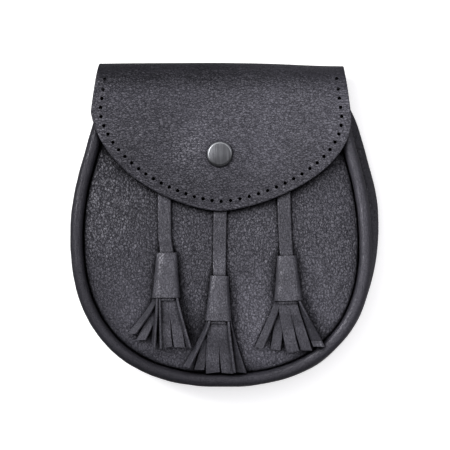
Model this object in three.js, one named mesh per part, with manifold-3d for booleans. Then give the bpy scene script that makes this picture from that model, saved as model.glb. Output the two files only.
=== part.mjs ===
// Sporran pouch of black leather, lying on its back with its flap snapped shut.
// Millimetres. Seen from the front, +X is to the right, +Y runs up to the fold of the flap
// and +Z points out of the front. The origin is on the resting surface, under the middle.
// The soft body has settled to one side: it leans to the left and bulges out on the right.

import * as THREE from 'three';
import { mergeVertices } from 'three/addons/utils/BufferGeometryUtils.js';
import Module from 'manifold-3d';

const wasm = await Module();
wasm.setup();

// Outline of the pouch, seen from the front
const width = 178;
const height = 190;
const widestHeight = 87;
const lowerRoundness = 2.35;
const sideArcRadius = 152;
const sideArcRise = 40;

// Depth of the pouch, from the resting surface to the middle of the rolled rim
const bottomDepth = 28;
const mouthDepth = 18;

// Leather and clearances
const gap = 0.3;
const sewnGap = 0.45;
const panelThickness = 2;
const gussetThickness = 1.8;
const flapThickness = 2;
const loopThickness = 1.8;
const strapThickness = 1.6;
const sleeveWall = 1.2;
const sleeveRoom = 0.5;
const stripThickness = 1.4;

// Rolled rim
const rollRadius = 3.8;
const rollSetback = 0.9;

// Panels and gusset
const frontProud = -0.8;
const domeBottom = 7.6;
const domeMouth = 4.3;
const backEdgeInset = 0.6;
const edgeSetback = { front: 5, gusset: 3, roll: 1, back: -1 };
const lowerDish = 1.5;
const gussetLip = 7;
const sideBulge = 4.2;
const bulgeStart = 48;
const bulgeRise = 62;
const bulgeFadeStart = 148;
const bulgeFade = 28;
const bodyLean = 1.1;
const leanStart = 38;
const leanRise = 75;

// Flap
const flapDrop = 86.9;
const flapWidestDrop = 29;
const flapOverhang = 1.4;
const flapLowerRoundness = 1.57;
const flapLean = 2.4;
const foldOverhang = 0.9;
const foldReach = 13;
const foldSag = 1.8;
const tailLength = 17;
const tailSetback = 2;
const flapLift = 2.3;

// Row of punched holes along the edge of the flap
const holeDiameter = 2.1;
const holePitch = 5.4;
const holeInset = 5.6;
const holeRowRise = 6;

// Press stud, cap half and stud half
const snapFromTip = 32.8;
const snapLift = 2.2;
const capRadius = 7.5;
const capHeight = 3;
const socketRadius = 5.75;
const socketHeight = 2.7;
const socketFloor = 0.7;
const capShankRadius = 2.2;
const studHeadRadius = 3.3;
const studFlangeRadius = 5;
const studFlangeThickness = 0.8;
const studShankRadius = 1.6;

// Belt loops on the back
const loopSpacing = 76;
const loopWidth = 14;
const loopFlatLength = 21;
const loopRampLength = 6;
const loopTabLength = 5;
const loopFromTail = 2;
const strapRoom = 6.3;

// Tassels
const hangerWidth = 7.8;
const hangerRamp = 9;
const sleeveLength = 26;
const sleeveTopHeight = 5.6;
const sleeveMouthHeight = 8.6;
const fringeLength = 30;
const stripWidth = 6;
const fringeCollar = 1.6;

// Levels worked out from the sizes above
const half = width / 2;
const foldY = height - foldReach - flapThickness;
const frontTopY = foldY - edgeSetback.front;
const rollTopY = foldY - edgeSetback.roll;
const gussetTopY = foldY - edgeSetback.gusset;
const backTopY = foldY - edgeSetback.back;
const tailEndY = foldY - tailLength;
const flapTipY = height - flapDrop;
const flapWidestY = height - flapWidestDrop;
const snapY = flapTipY + snapFromTip;
const rollInset = rollSetback + rollRadius;
const frontInset = rollInset + rollRadius + gap;

function clamp(value) {
  return Math.min(1, Math.max(0, value));
}

function mix(from, to, share) {
  return from + (to - from) * share;
}

// Share that starts and ends level
function ease(share) {
  const part = clamp(share);
  return part * part * (3 - 2 * part);
}

// Half of the width of the pouch at a height y: a full round bottom, then an arc that
// runs into straight sides, which lean together towards the mouth.
function halfWidth(y) {
  if (y < widestHeight) {
    const below = clamp((widestHeight - y) / widestHeight);
    return half * (1 - below ** lowerRoundness) ** (1 / lowerRoundness);
  }
  const rise = Math.min(y - widestHeight, sideArcRise);
  const arcLevel = Math.sqrt(sideArcRadius ** 2 - rise ** 2);
  const straight = Math.max(0, y - widestHeight - sideArcRise);
  return half - (sideArcRadius - arcLevel) - (straight * rise) / arcLevel;
}

// How far a point lies from the middle line, as a share of the way to an edge that runs
// the given inset inside the outline
function edgeShare(x, y, inset) {
  if (y >= widestHeight) {
    return Math.abs(x) / (halfWidth(y) - inset);
  }
  const across = Math.abs(x) / (half - inset);
  const down = (widestHeight - y) / (widestHeight - inset);
  return (across ** lowerRoundness + down ** lowerRoundness) ** (1 / lowerRoundness);
}

// The pouch gets thinner from its full bottom to its mouth
function towardsMouth(y) {
  const slopeStart = 0.32 * height;
  const slopeEnd = 0.89 * height;
  return ease((y - slopeStart) / (slopeEnd - slopeStart));
}

// How far the body has settled to the left at a height y
function leanShift(y) {
  return -bodyLean * ease((y - leanStart) / leanRise);
}

// How far the gusset bulges out on the right, from the full bottom to near the mouth
function bulgeDepth(x, y) {
  const filled = ease((y - bulgeStart) / bulgeRise);
  const faded = ease((y - bulgeFadeStart) / bulgeFade);
  return x > 0 ? sideBulge * filled * (1 - faded) : 0;
}

function seamHeight(y) {
  return mix(bottomDepth, mouthDepth, towardsMouth(y));
}

function domeRise(y) {
  return mix(domeBottom, domeMouth, towardsMouth(y));
}

// Outer face of the front panel
function frontHeight(x, y) {
  const level = 1 - clamp(edgeShare(x, y, frontInset)) ** 4;
  return seamHeight(y) + frontProud + domeRise(y) * level;
}

// Share of the full dish of the back that a point has: level in the middle, none at the edge
function dishShape(x, y) {
  const levelShare = 0.35;
  return 1 - ease((edgeShare(x, y, backEdgeInset) - levelShare) / (1 - levelShare));
}

// Belt loops: the back is dished so far that a strap passes between loop and panel
const loopMiddleX = loopSpacing / 2;
const loopTopY = tailEndY - loopFromTail;
const loopRampTopY = loopTopY - loopTabLength;
const loopFlatTopY = loopRampTopY - loopRampLength;
const loopFlatBottomY = loopFlatTopY - loopFlatLength;
const loopRampBottomY = loopFlatBottomY - loopRampLength;
const loopBottomY = loopRampBottomY - loopTabLength;
const loopMiddleY = (loopFlatTopY + loopFlatBottomY) / 2;

// The back rises towards its top, where it lies over the sewn tail of the flap
function backLift(y) {
  return (flapThickness + sewnGap) * ease((y - loopBottomY) / (loopTopY - loopBottomY));
}

const upperDish = (loopThickness + strapRoom - backLift(loopMiddleY))
  / dishShape(loopMiddleX, loopMiddleY);

// Rear face of the back panel
function backHeight(x, y) {
  const dishStart = 0.2 * height;
  const dish = mix(lowerDish, upperDish, ease((y - dishStart) / (loopBottomY - dishStart)));
  return backLift(y) + dish * dishShape(x, y);
}

// Solids from lists of points and faces

// Closed geometry with shared points, no collapsed faces, and its faces pointing out
function solidFrom(points, faces) {
  let volume = 0;
  for (const [a, b, c] of faces) {
    volume += points[a].dot(new THREE.Vector3().crossVectors(points[b], points[c]));
  }
  const index = faces.flatMap(([a, b, c]) => (volume > 0 ? [a, b, c] : [a, c, b]));
  const geometry = new THREE.BufferGeometry().setFromPoints(points);
  geometry.setIndex(index);
  return geometry;
}

function shared(geometry) {
  const bare = geometry.clone();
  bare.deleteAttribute('normal');
  bare.deleteAttribute('uv');
  const merged = mergeVertices(bare, 1e-4);
  const index = [];
  for (let i = 0; i < merged.index.count; i += 3) {
    const [a, b, c] = [0, 1, 2].map((k) => merged.index.getX(i + k));
    if (a !== b && b !== c && c !== a) {
      index.push(a, b, c);
    }
  }
  merged.setIndex(index);
  return merged;
}

function toSolid(geometry) {
  const merged = shared(geometry);
  return new wasm.Manifold(new wasm.Mesh({
    numProp: 3,
    vertProperties: new Float32Array(merged.attributes.position.array),
    triVerts: new Uint32Array(merged.index.array),
  }));
}

function toGeometry(solid) {
  const mesh = solid.getMesh();
  const geometry = new THREE.BufferGeometry();
  const positions = new THREE.BufferAttribute(new Float32Array(mesh.vertProperties), 3);
  geometry.setAttribute('position', positions);
  geometry.setIndex(new THREE.BufferAttribute(new Uint32Array(mesh.triVerts), 1));
  return geometry;
}

// Two faces for each quad between two closed rings of points
function ringFaces(count, from, to) {
  const faces = [];
  for (let i = 0; i < count; i++) {
    const next = (i + 1) % count;
    faces.push([from + i, from + next, to + next], [from + i, to + next, to + i]);
  }
  return faces;
}

// Solid through a row of closed rings. Each ring goes out along one side and comes back
// along the other, so its ends are closed with a ladder of faces.
function loft(rings) {
  const count = rings[0].length;
  const faces = [];
  for (let k = 0; k + 1 < rings.length; k++) {
    faces.push(...ringFaces(count, k * count, (k + 1) * count));
  }
  const last = (rings.length - 1) * count;
  for (let i = 0; i < count / 2 - 1; i++) {
    const far = count - 1 - i;
    faces.push([i, far, far - 1], [i, far - 1, i + 1]);
    faces.push([last + i, last + far - 1, last + far], [last + i, last + i + 1, last + far - 1]);
  }
  return solidFrom(rings.flat(), faces);
}

// Hollow solid between a row of outer rings and a row of inner rings, open at both ends
function sleeveSolid(outerRings, innerRings) {
  const count = outerRings[0].length;
  const steps = outerRings.length;
  const innerStart = steps * count;
  const faces = [];
  for (let k = 0; k + 1 < steps; k++) {
    faces.push(...ringFaces(count, k * count, (k + 1) * count));
    faces.push(...ringFaces(count, innerStart + (k + 1) * count, innerStart + k * count));
  }
  const last = (steps - 1) * count;
  faces.push(...ringFaces(count, innerStart, 0));
  faces.push(...ringFaces(count, last, innerStart + last));
  return solidFrom([...outerRings.flat(), ...innerRings.flat()], faces);
}

// Path along the outline

// Outline from the right top corner round the bottom to the left, with outward normals
function outlineCurve() {
  const sideSteps = 80;
  const roundSteps = 160;
  const right = [];
  for (let i = 0; i <= sideSteps; i++) {
    const y = mix(height, widestHeight, i / sideSteps);
    right.push(new THREE.Vector2(halfWidth(y), y));
  }
  const power = 2 / lowerRoundness;
  for (let i = 1; i <= roundSteps; i++) {
    const angle = (Math.PI / 2) * (i / roundSteps);
    const across = half * Math.abs(Math.cos(angle)) ** power;
    right.push(new THREE.Vector2(across, widestHeight * (1 - Math.sin(angle) ** power)));
  }
  const left = right.slice(0, -1).reverse().map((p) => new THREE.Vector2(-p.x, p.y));
  const curve = [...right, ...left];
  return curve.map((point, i) => {
    const before = curve[Math.max(0, i - 1)];
    const after = curve[Math.min(curve.length - 1, i + 1)];
    const along = new THREE.Vector2().subVectors(after, before).normalize();
    return { point, normal: new THREE.Vector2(-along.y, along.x) };
  });
}

const outline = outlineCurve();

// Stations on the edge of each piece that follows the outline. The number is odd, so that
// the middle of the bottom has a short straight of its own.
const edgeSteps = 43;

// Even stations on a line that runs the given inset inside the outline, up to topY
function edgePath(inset, topY, steps) {
  const line = outline.map(({ point, normal }) => ({
    point: point.clone().addScaledVector(normal, -inset),
    normal,
  }));
  const start = line.findIndex(({ point }) => point.y <= topY);
  const [above, below] = [line[start - 1], line[start]];
  const share = (above.point.y - topY) / (above.point.y - below.point.y);
  const first = {
    point: above.point.clone().lerp(below.point, share),
    normal: above.normal.clone().lerp(below.normal, share).normalize(),
  };
  const last = {
    point: new THREE.Vector2(-first.point.x, first.point.y),
    normal: new THREE.Vector2(-first.normal.x, first.normal.y),
  };
  const kept = [first, ...line.slice(start, line.length - start), last];
  const lengths = [0];
  for (let i = 1; i < kept.length; i++) {
    lengths.push(lengths[i - 1] + kept[i].point.distanceTo(kept[i - 1].point));
  }
  const total = lengths[lengths.length - 1];
  const stations = [];
  for (let i = 0, k = 1; i <= steps; i++) {
    const wanted = (total * i) / steps;
    while (k < kept.length - 1 && lengths[k] < wanted) {
      k++;
    }
    const part = clamp((wanted - lengths[k - 1]) / (lengths[k] - lengths[k - 1]));
    stations.push({
      point: kept[k - 1].point.clone().lerp(kept[k].point, part),
      normal: kept[k - 1].normal.clone().lerp(kept[k].normal, part).normalize(),
    });
  }
  return stations;
}

// Panel inside the outline: a row of points across it for each station of its edge.
// The shares say where along half a row, from the middle to the edge, its points lie.
function panelSolid(inset, topY, shares, lowerFace, upperFace) {
  const across = [...shares.slice(1).reverse().map((share) => -share), ...shares];
  const stations = edgePath(inset, topY, edgeSteps).slice(0, (edgeSteps + 1) / 2);
  return loft(stations.map(({ point }) => {
    const row = across.map((share) => new THREE.Vector2(share * point.x, point.y));
    const lower = row.map(({ x, y }) => new THREE.Vector3(x, y, lowerFace(x, y)));
    const upper = row.map(({ x, y }) => new THREE.Vector3(x, y, upperFace(x, y)));
    return [...lower, ...upper.reverse()];
  }));
}

// Back panel
function backPanel() {
  const shares = [0, 0.24, 0.38, 0.5, 0.61, 0.72, 0.82, 0.91, 1];
  const upperFace = (x, y) => backHeight(x, y) + panelThickness;
  return panelSolid(backEdgeInset, backTopY, shares, backHeight, upperFace);
}

// Gusset: a leather strip of C section, whose lower lip lies on the back panel and whose
// upper lip carries the rolled rim. Rows give the outer line of its section, as shares of
// the lip's length, of the height between the lips and of the bulge to the side.
const gussetSection = [
  { inset: 1.0, rise: 0.0, bow: 0.0 },
  { inset: 0.3, rise: 0.0, bow: 0.15 },
  { inset: 0.06, rise: 0.1, bow: 0.65 },
  { inset: 0.0, rise: 0.35, bow: 1.0 },
  { inset: 0.03, rise: 0.65, bow: 0.9 },
  { inset: 0.3, rise: 1.0, bow: 0.3 },
  { inset: 0.95, rise: 1.0, bow: 0.0 },
];

function gussetRing({ point, normal }) {
  const bulge = bulgeDepth(point.x, point.y);
  const line = gussetSection.map(({ inset, rise, bow }) => {
    const deep = inset * gussetLip - bow * bulge;
    const place = point.clone().addScaledVector(normal, -deep);
    const low = backHeight(place.x, place.y) + panelThickness + gap;
    const high = seamHeight(place.y) - rollRadius - gap;
    return new THREE.Vector2(deep, mix(low, high, rise));
  });
  const inner = line.map((spot, i) => {
    const before = line[Math.max(0, i - 1)];
    const after = line[Math.min(line.length - 1, i + 1)];
    const along = new THREE.Vector2().subVectors(after, before).normalize();
    return new THREE.Vector2(spot.x + along.y * gussetThickness, spot.y - along.x * gussetThickness);
  });
  return [...line, ...inner.reverse()].map((spot) => {
    const place = point.clone().addScaledVector(normal, -spot.x);
    return new THREE.Vector3(place.x, place.y, spot.y);
  });
}

function gusset() {
  return loft(edgePath(0, gussetTopY, edgeSteps).map(gussetRing));
}

// Rolled rim: a round roll of leather along the front edge
const rollSides = 10;

function rimRoll() {
  const rings = edgePath(rollInset, rollTopY, edgeSteps).map(({ point, normal }) => {
    const ring = [];
    for (let i = 0; i < rollSides; i++) {
      const angle = (2 * Math.PI * i) / rollSides;
      const out = rollRadius * Math.cos(angle);
      const place = point.clone().addScaledVector(normal, out);
      const level = seamHeight(point.y) + rollRadius * Math.sin(angle);
      ring.push(new THREE.Vector3(place.x, place.y, level));
    }
    return ring;
  });
  return loft(rings);
}

// Flap: over the front, round the fold and down the outside of the back

// Half of the width of the flap, on the front
function flapHalfWidth(y) {
  const widest = halfWidth(flapWidestY) + flapOverhang;
  const atFold = halfWidth(foldY) + foldOverhang;
  const share = clamp((y - flapWidestY) / flapWidestDrop);
  return mix(widest, atFold, share ** 1.2);
}

// The hand-cut edge leans towards +X between the tip and the widest place
function flapShift(y) {
  const share = clamp((y - flapTipY) / (flapWidestY - flapTipY));
  return flapLean * 4 * share * (1 - share);
}

// Inner face of the flap between its tip and the start of the fold
function flapRest(x, y) {
  const rollShare = Math.abs(x) / (halfWidth(y) - rollInset);
  const crown = frontProud + domeRise(y) + flapLift - rollRadius - gap;
  const fromSnap = Math.hypot(x, y - snapY) / capRadius;
  const bump = snapLift * (1 - ease((fromSnap - 1) / 3));
  return seamHeight(y) + rollRadius + gap + crown * (1 - rollShare ** 4) + bump;
}

// How far the fold reaches past its start. The soft leather has sagged towards its +X end.
function foldReachAt(share) {
  return foldReach - foldSag * ease(share);
}

// Inner face of the flap up to the far end of the fold, which is half an ellipse
function flapHeight(x, y) {
  if (y <= foldY) {
    return flapRest(x, y);
  }
  const front = flapRest(x, foldY);
  const back = backHeight(x, foldY) - sewnGap;
  const reach = foldReachAt(x / flapHalfWidth(foldY));
  const round = Math.sqrt(Math.max(0, 1 - ((y - foldY) / reach) ** 2));
  return (front + back) / 2 + ((front - back) / 2) * round;
}

const flapColumns = 17;
const flapFrontRows = 10;
const flapFoldRows = 8;
const flapTailRows = 2;

// One column of the flap's inner face, from its lower edge to the end of its tail
function flapColumn(u) {
  const points = [];
  const drop = (flapWidestY - flapTipY) * Math.sqrt(1 - Math.abs(u) ** flapLowerRoundness);
  for (let j = 0; j <= flapFrontRows; j++) {
    const y = mix(flapWidestY - drop, foldY, j / flapFrontRows);
    const x = flapShift(y) + u * flapHalfWidth(y);
    points.push(new THREE.Vector3(x, y, flapRest(x, y)));
  }
  const tailHalfWidth = halfWidth(foldY) - tailSetback;
  for (let j = 1; j <= flapFoldRows; j++) {
    const angle = (Math.PI * j) / flapFoldRows;
    const y = foldY + foldReachAt(u) * Math.sin(angle);
    const frontHalf = flapHalfWidth(y);
    const turned = Math.max(0, -Math.cos(angle));
    const x = u * mix(frontHalf, tailHalfWidth, turned);
    const front = flapRest(x, foldY);
    const back = backHeight(x, foldY) - sewnGap;
    points.push(new THREE.Vector3(x, y, (front + back) / 2 + ((front - back) / 2) * Math.cos(angle)));
  }
  for (let j = 1; j <= flapTailRows; j++) {
    const y = mix(foldY, tailEndY, j / flapTailRows);
    const x = u * tailHalfWidth;
    points.push(new THREE.Vector3(x, y, backHeight(x, y) - sewnGap));
  }
  return points;
}

function flapSheet() {
  const inner = [];
  for (let i = 0; i <= flapColumns; i++) {
    const u = Math.sin((Math.PI / 2) * mix(-1, 1, i / flapColumns));
    inner.push(flapColumn(u));
  }
  const rows = inner[0].length;
  const outer = inner.map((column, i) => column.map((point, j) => {
    const across = new THREE.Vector3().subVectors(
      inner[Math.min(flapColumns, i + 1)][j], inner[Math.max(0, i - 1)][j]);
    const along = new THREE.Vector3().subVectors(
      column[Math.min(rows - 1, j + 1)], column[Math.max(0, j - 1)]);
    const normal = across.cross(along).normalize();
    return point.clone().addScaledVector(normal, flapThickness);
  }));
  const rings = inner.map((column, i) => [...column, ...outer[i].slice().reverse()]);
  return loft(rings);
}

// Place and direction of an axis that stands on the flap's inner face
function flapAxis(x, y) {
  const step = 0.5;
  const slopeX = (flapHeight(x + step, y) - flapHeight(x - step, y)) / (2 * step);
  const slopeY = (flapHeight(x, y + step) - flapHeight(x, y - step)) / (2 * step);
  const normal = new THREE.Vector3(-slopeX, -slopeY, 1).normalize();
  return { place: new THREE.Vector3(x, y, flapHeight(x, y)), normal };
}

// Straight round body on such an axis, between two levels above the inner face
function pegOn({ place, normal }, radius, from, to, sides) {
  const peg = new THREE.CylinderGeometry(radius, radius, to - from, sides);
  peg.rotateX(Math.PI / 2);
  peg.translate(0, 0, (from + to) / 2);
  const turn = new THREE.Quaternion().setFromUnitVectors(new THREE.Vector3(0, 0, 1), normal);
  peg.applyQuaternion(turn);
  peg.translate(place.x, place.y, place.z);
  return toSolid(peg);
}

// Right half of the flap's edge, from the middle of its tip up to the end of the holes
function flapEdgeRight() {
  const lowerSteps = 60;
  const sideSteps = 20;
  const edge = [];
  const widest = flapHalfWidth(flapWidestY);
  for (let i = 0; i < lowerSteps; i++) {
    const angle = (Math.PI / 2) * (1 - i / lowerSteps);
    const x = widest * Math.cos(angle) ** (2 / flapLowerRoundness);
    edge.push(new THREE.Vector2(x, flapWidestY - (flapWidestY - flapTipY) * Math.sin(angle)));
  }
  for (let i = 0; i <= sideSteps; i++) {
    const y = mix(flapWidestY, foldY + foldReach, i / sideSteps);
    edge.push(new THREE.Vector2(flapHalfWidth(y), y));
  }
  return edge;
}

// Holes at an even pitch from the middle of the tip, the same on both sides
function holePlaces() {
  const edge = flapEdgeRight();
  const line = edge.map((point, i) => {
    const before = i === 0 ? new THREE.Vector2(-edge[1].x, edge[1].y) : edge[i - 1];
    const after = edge[Math.min(edge.length - 1, i + 1)];
    const along = new THREE.Vector2().subVectors(after, before).normalize();
    return point.clone().add(new THREE.Vector2(-along.y, along.x).multiplyScalar(holeInset));
  });
  const places = [line[0]];
  const onFlap = (side, { x, y }) => new THREE.Vector2(flapShift(y) + side * x, y);
  let left = holePitch;
  for (let i = 1; i < line.length; i++) {
    let from = line[i - 1].clone();
    let length = from.distanceTo(line[i]);
    while (length >= left) {
      from = from.clone().lerp(line[i], left / length);
      length = from.distanceTo(line[i]);
      left = holePitch;
      if (from.y <= foldY + holeRowRise) {
        places.push(onFlap(1, from), onFlap(-1, from));
      }
    }
    left -= length;
  }
  return places;
}

function flap() {
  const reach = 1.5;
  const holeRadius = holeDiameter / 2;
  const pegs = holePlaces().map(({ x, y }) =>
    pegOn(flapAxis(x, y), holeRadius, -reach, flapThickness + reach, 6));
  pegs.push(pegOn(flapAxis(0, snapY), capShankRadius + gap, -reach, flapThickness + reach, 16));
  return toGeometry(pegs.reduce((solid, peg) => solid.subtract(peg), toSolid(flapSheet())));
}

// Press stud. Its axis stands on the flap, and heights are measured from the inner face.
const snapAxis = flapAxis(0, snapY);
const panelOuterLevel = -(flapLift + snapLift) * snapAxis.normal.z;
const panelInnerLevel = panelOuterLevel - panelThickness;
const socketLevel = -gap - socketHeight;
const boreLevel = -gap - socketFloor;
const capLevel = flapThickness + gap;
const snapSides = 16;

// Round body turned about the stud's axis, from a profile of radius and level
function turned(profile) {
  const points = profile.map(({ radius, level }) => new THREE.Vector2(radius, level));
  const body = new THREE.LatheGeometry(points, snapSides);
  body.rotateX(Math.PI / 2);
  const turn = new THREE.Quaternion().setFromUnitVectors(new THREE.Vector3(0, 0, 1), snapAxis.normal);
  body.applyQuaternion(turn);
  body.translate(snapAxis.place.x, snapAxis.place.y, snapAxis.place.z);
  return toGeometry(toSolid(body));
}

function snapCap() {
  const bore = studHeadRadius + gap;
  return turned([
    { radius: 0, level: boreLevel },
    { radius: bore, level: boreLevel },
    { radius: bore, level: socketLevel },
    { radius: socketRadius, level: socketLevel },
    { radius: socketRadius, level: -gap },
    { radius: capShankRadius, level: -gap },
    { radius: capShankRadius, level: capLevel },
    { radius: 0.96 * capRadius, level: capLevel },
    { radius: capRadius, level: capLevel + 0.12 * capHeight },
    { radius: capRadius, level: capLevel + 0.38 * capHeight },
    { radius: 0.93 * capRadius, level: capLevel + 0.66 * capHeight },
    { radius: 0.72 * capRadius, level: capLevel + 0.87 * capHeight },
    { radius: 0.4 * capRadius, level: capLevel + 0.97 * capHeight },
    { radius: 0, level: capLevel + capHeight },
  ]);
}

function snapStud() {
  const flangeFoot = panelOuterLevel + gap;
  const flangeTop = flangeFoot + studFlangeThickness;
  const washerTop = panelInnerLevel - gap;
  const headTop = boreLevel - gap;
  return turned([
    { radius: 0, level: washerTop - studFlangeThickness },
    { radius: studFlangeRadius, level: washerTop - studFlangeThickness },
    { radius: studFlangeRadius, level: washerTop },
    { radius: studShankRadius, level: washerTop },
    { radius: studShankRadius, level: flangeFoot },
    { radius: studFlangeRadius, level: flangeFoot },
    { radius: studFlangeRadius, level: flangeTop },
    { radius: 0.8 * studHeadRadius, level: flangeTop },
    { radius: studHeadRadius, level: mix(flangeTop, headTop, 0.6) },
    { radius: 0.8 * studHeadRadius, level: headTop },
    { radius: 0, level: headTop },
  ]);
}

// Front panel, with a hole for the shank of the stud
function frontPanel() {
  const shares = [0, 0.3, 0.52, 0.7, 0.83, 0.93, 1];
  const lowerFace = (x, y) => frontHeight(x, y) - panelThickness;
  const sheet = toSolid(panelSolid(frontInset, frontTopY, shares, lowerFace, frontHeight));
  const reach = 1;
  const hole = pegOn(snapAxis, studShankRadius + gap, panelInnerLevel - reach,
    panelOuterLevel + reach, 12);
  return toGeometry(sheet.subtract(hole));
}

// Belt loop: flat in its middle, with its two ends laid against the back panel.
// Rows give its stations along the loop; sewn is 1 where it lies against the panel.
function beltLoop(side) {
  const stations = [
    { y: loopBottomY, sewn: 1 },
    { y: loopRampBottomY, sewn: 1 },
    { y: loopFlatBottomY, sewn: 0 },
    { y: loopFlatTopY, sewn: 0 },
    { y: loopRampTopY, sewn: 1 },
    { y: loopTopY, sewn: 1 },
  ];
  const near = side * (loopMiddleX - loopWidth / 2);
  const far = side * (loopMiddleX + loopWidth / 2);
  const rings = stations.map(({ y, sewn }) => {
    const level = (x) => sewn * (backHeight(x, y) - sewnGap - loopThickness);
    return [
      new THREE.Vector3(near, y, level(near)),
      new THREE.Vector3(far, y, level(far)),
      new THREE.Vector3(far, y, level(far) + loopThickness),
      new THREE.Vector3(near, y, level(near) + loopThickness),
    ];
  });
  return loft(rings);
}

// Tassels. Places are shares of half the width and of the height of the pouch, for the
// hidden upper end of the hanger and for the mouth of the sleeve. topWidth and mouthWidth
// are the sleeve's, and slant is how far its top sits to the right of the line it hangs on.
const tasselPlaces = [
  {
    name: 'left', topX: -0.366, topY: 0.642, mouthX: -0.3585, mouthY: 0.2795,
    topWidth: 12.2, mouthWidth: 16.4, slant: 1,
  },
  {
    name: 'centre', topX: 0.006, topY: 0.605, mouthX: -0.019, mouthY: 0.209,
    topWidth: 10.8, mouthWidth: 15.4, slant: 0.2,
  },
  {
    name: 'right', topX: 0.414, topY: 0.642, mouthX: 0.438, mouthY: 0.2705,
    topWidth: 11.4, mouthWidth: 16.6, slant: 0.3,
  },
];

// Strips of each fringe. start is the strip's place across the sleeve's mouth, as a share
// of half its width. tip is how far the strip's end lies to the side and reach how far it
// comes down, as shares of the fringe's length. wide is a share of the strip width. turn
// and turnTip are the degrees that the strip stands on edge, and layer 0 lies underneath.
const fringeStrips = {
  left: [
    { start: -0.2, tip: 0.0, reach: 0.97, wide: 1, turn: 0, turnTip: 0, layer: 1 },
    { start: 0.53, tip: 0.24, reach: 0.97, wide: 1, turn: 0, turnTip: 0, layer: 1 },
    { start: 0.85, tip: 0.43, reach: 0.97, wide: 0.9, turn: 75, turnTip: 70, layer: 1 },
    { start: -0.62, tip: -0.135, reach: 0.98, wide: 0.9, turn: 70, turnTip: 75, layer: 1 },
    { start: -0.8, tip: -0.25, reach: 0.95, wide: 0.9, turn: 75, turnTip: 80, layer: 1 },
    { start: -0.8, tip: -0.68, reach: 0.7, wide: 0.9, turn: 55, turnTip: 35, layer: 0 },
    { start: -0.5, tip: -0.5, reach: 0.82, wide: 0.9, turn: 20, turnTip: 20, layer: 0 },
    { start: 0.2, tip: 0.2, reach: 0.9, wide: 0.9, turn: 0, turnTip: 0, layer: 0 },
  ],
  centre: [
    { start: -0.45, tip: -0.08, reach: 1.02, wide: 1.2, turn: 0, turnTip: 0, layer: 1 },
    { start: 0.35, tip: 0.19, reach: 1.02, wide: 1.05, turn: 0, turnTip: 0, layer: 1 },
    { start: 0.85, tip: 0.33, reach: 1, wide: 0.9, turn: 75, turnTip: 80, layer: 1 },
    { start: 0.8, tip: 0.47, reach: 1, wide: 0.9, turn: 30, turnTip: 20, layer: 0 },
    { start: -0.85, tip: -0.58, reach: 0.92, wide: 0.9, turn: 70, turnTip: 60, layer: 1 },
    { start: -0.6, tip: -0.35, reach: 0.97, wide: 0.9, turn: 25, turnTip: 15, layer: 0 },
  ],
  right: [
    { start: -0.45, tip: 0.06, reach: 1, wide: 1.1, turn: 0, turnTip: 0, layer: 1 },
    { start: 0.3, tip: 0.31, reach: 0.98, wide: 1, turn: 0, turnTip: 0, layer: 1 },
    { start: 0.85, tip: 0.57, reach: 0.91, wide: 1, turn: 75, turnTip: 10, layer: 1 },
    { start: -0.85, tip: -0.6, reach: 0.9, wide: 0.9, turn: 50, turnTip: 25, layer: 0 },
    { start: -0.6, tip: -0.27, reach: 0.95, wide: 0.9, turn: 25, turnTip: 10, layer: 0 },
  ],
};

const rollLine = edgePath(rollInset, rollTopY, 240);

// What a tassel lies on: the front panel, or the rolled rim where that is higher
function supportHeight(x, y) {
  let level = frontHeight(x, y);
  for (const { point } of rollLine) {
    const away = Math.hypot(point.x - x, point.y - y);
    if (away < rollRadius) {
      const top = seamHeight(point.y) + Math.sqrt(rollRadius ** 2 - away ** 2);
      level = Math.max(level, top);
    }
  }
  return level;
}

// Line that a tassel hangs along. place gives a point by its distance past the mouth of
// the sleeve, which is negative above it, and by its distance to the side.
function tasselLine({ topX, topY, mouthX, mouthY, topWidth, mouthWidth, slant }) {
  const top = new THREE.Vector2(topX * half, topY * height);
  const mouth = new THREE.Vector2(mouthX * half, mouthY * height);
  const down = new THREE.Vector2().subVectors(mouth, top).normalize();
  const across = new THREE.Vector2(-down.y, down.x);
  return {
    length: top.distanceTo(mouth),
    across,
    slant,
    sleeveHalf: (share) => mix(topWidth, mouthWidth, share ** 1.3) / 2,
    place: (past, aside) => mouth.clone().addScaledVector(down, past).addScaledVector(across, aside),
  };
}

function sleeveHalfHeight(share) {
  return mix(sleeveTopHeight, sleeveMouthHeight, share) / 2;
}

// Middle level of the sleeve at a share of its length, so that it clears the panel
function sleeveLevel(line, share) {
  const past = (share - 1) * sleeveLength;
  const reach = line.sleeveHalf(share);
  const sides = [-reach, 0, reach].map((aside) => line.place(past, aside));
  const support = Math.max(...sides.map(({ x, y }) => supportHeight(x, y)));
  return support + gap + sleeveHalfHeight(share);
}

// Ring of a soft box section across a tassel
function softBoxRing(line, share, shrink, sides) {
  const past = (share - 1) * sleeveLength;
  const reach = line.sleeveHalf(share) - shrink;
  const rise = sleeveHalfHeight(share) - shrink;
  const level = sleeveLevel(line, Math.min(share, 1));
  const ring = [];
  for (let i = 0; i < sides; i++) {
    const angle = (2 * Math.PI * i) / sides;
    const aside = Math.sign(Math.cos(angle)) * Math.abs(Math.cos(angle)) ** 0.5 * reach;
    const above = Math.sign(Math.sin(angle)) * Math.abs(Math.sin(angle)) ** 0.5 * rise;
    const place = line.place(past, aside + line.slant * (1 - share));
    ring.push(new THREE.Vector3(place.x, place.y, level + above));
  }
  return ring;
}

const sleeveSides = 12;
const strapShare = 0.4;

function tasselSleeve(line) {
  const shares = [0, 0.5, 1];
  const outer = shares.map((share) => softBoxRing(line, share, 0, sleeveSides));
  const inner = shares.map((share) => softBoxRing(line, share, sleeveWall, sleeveSides));
  return sleeveSolid(outer, inner);
}

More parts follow.
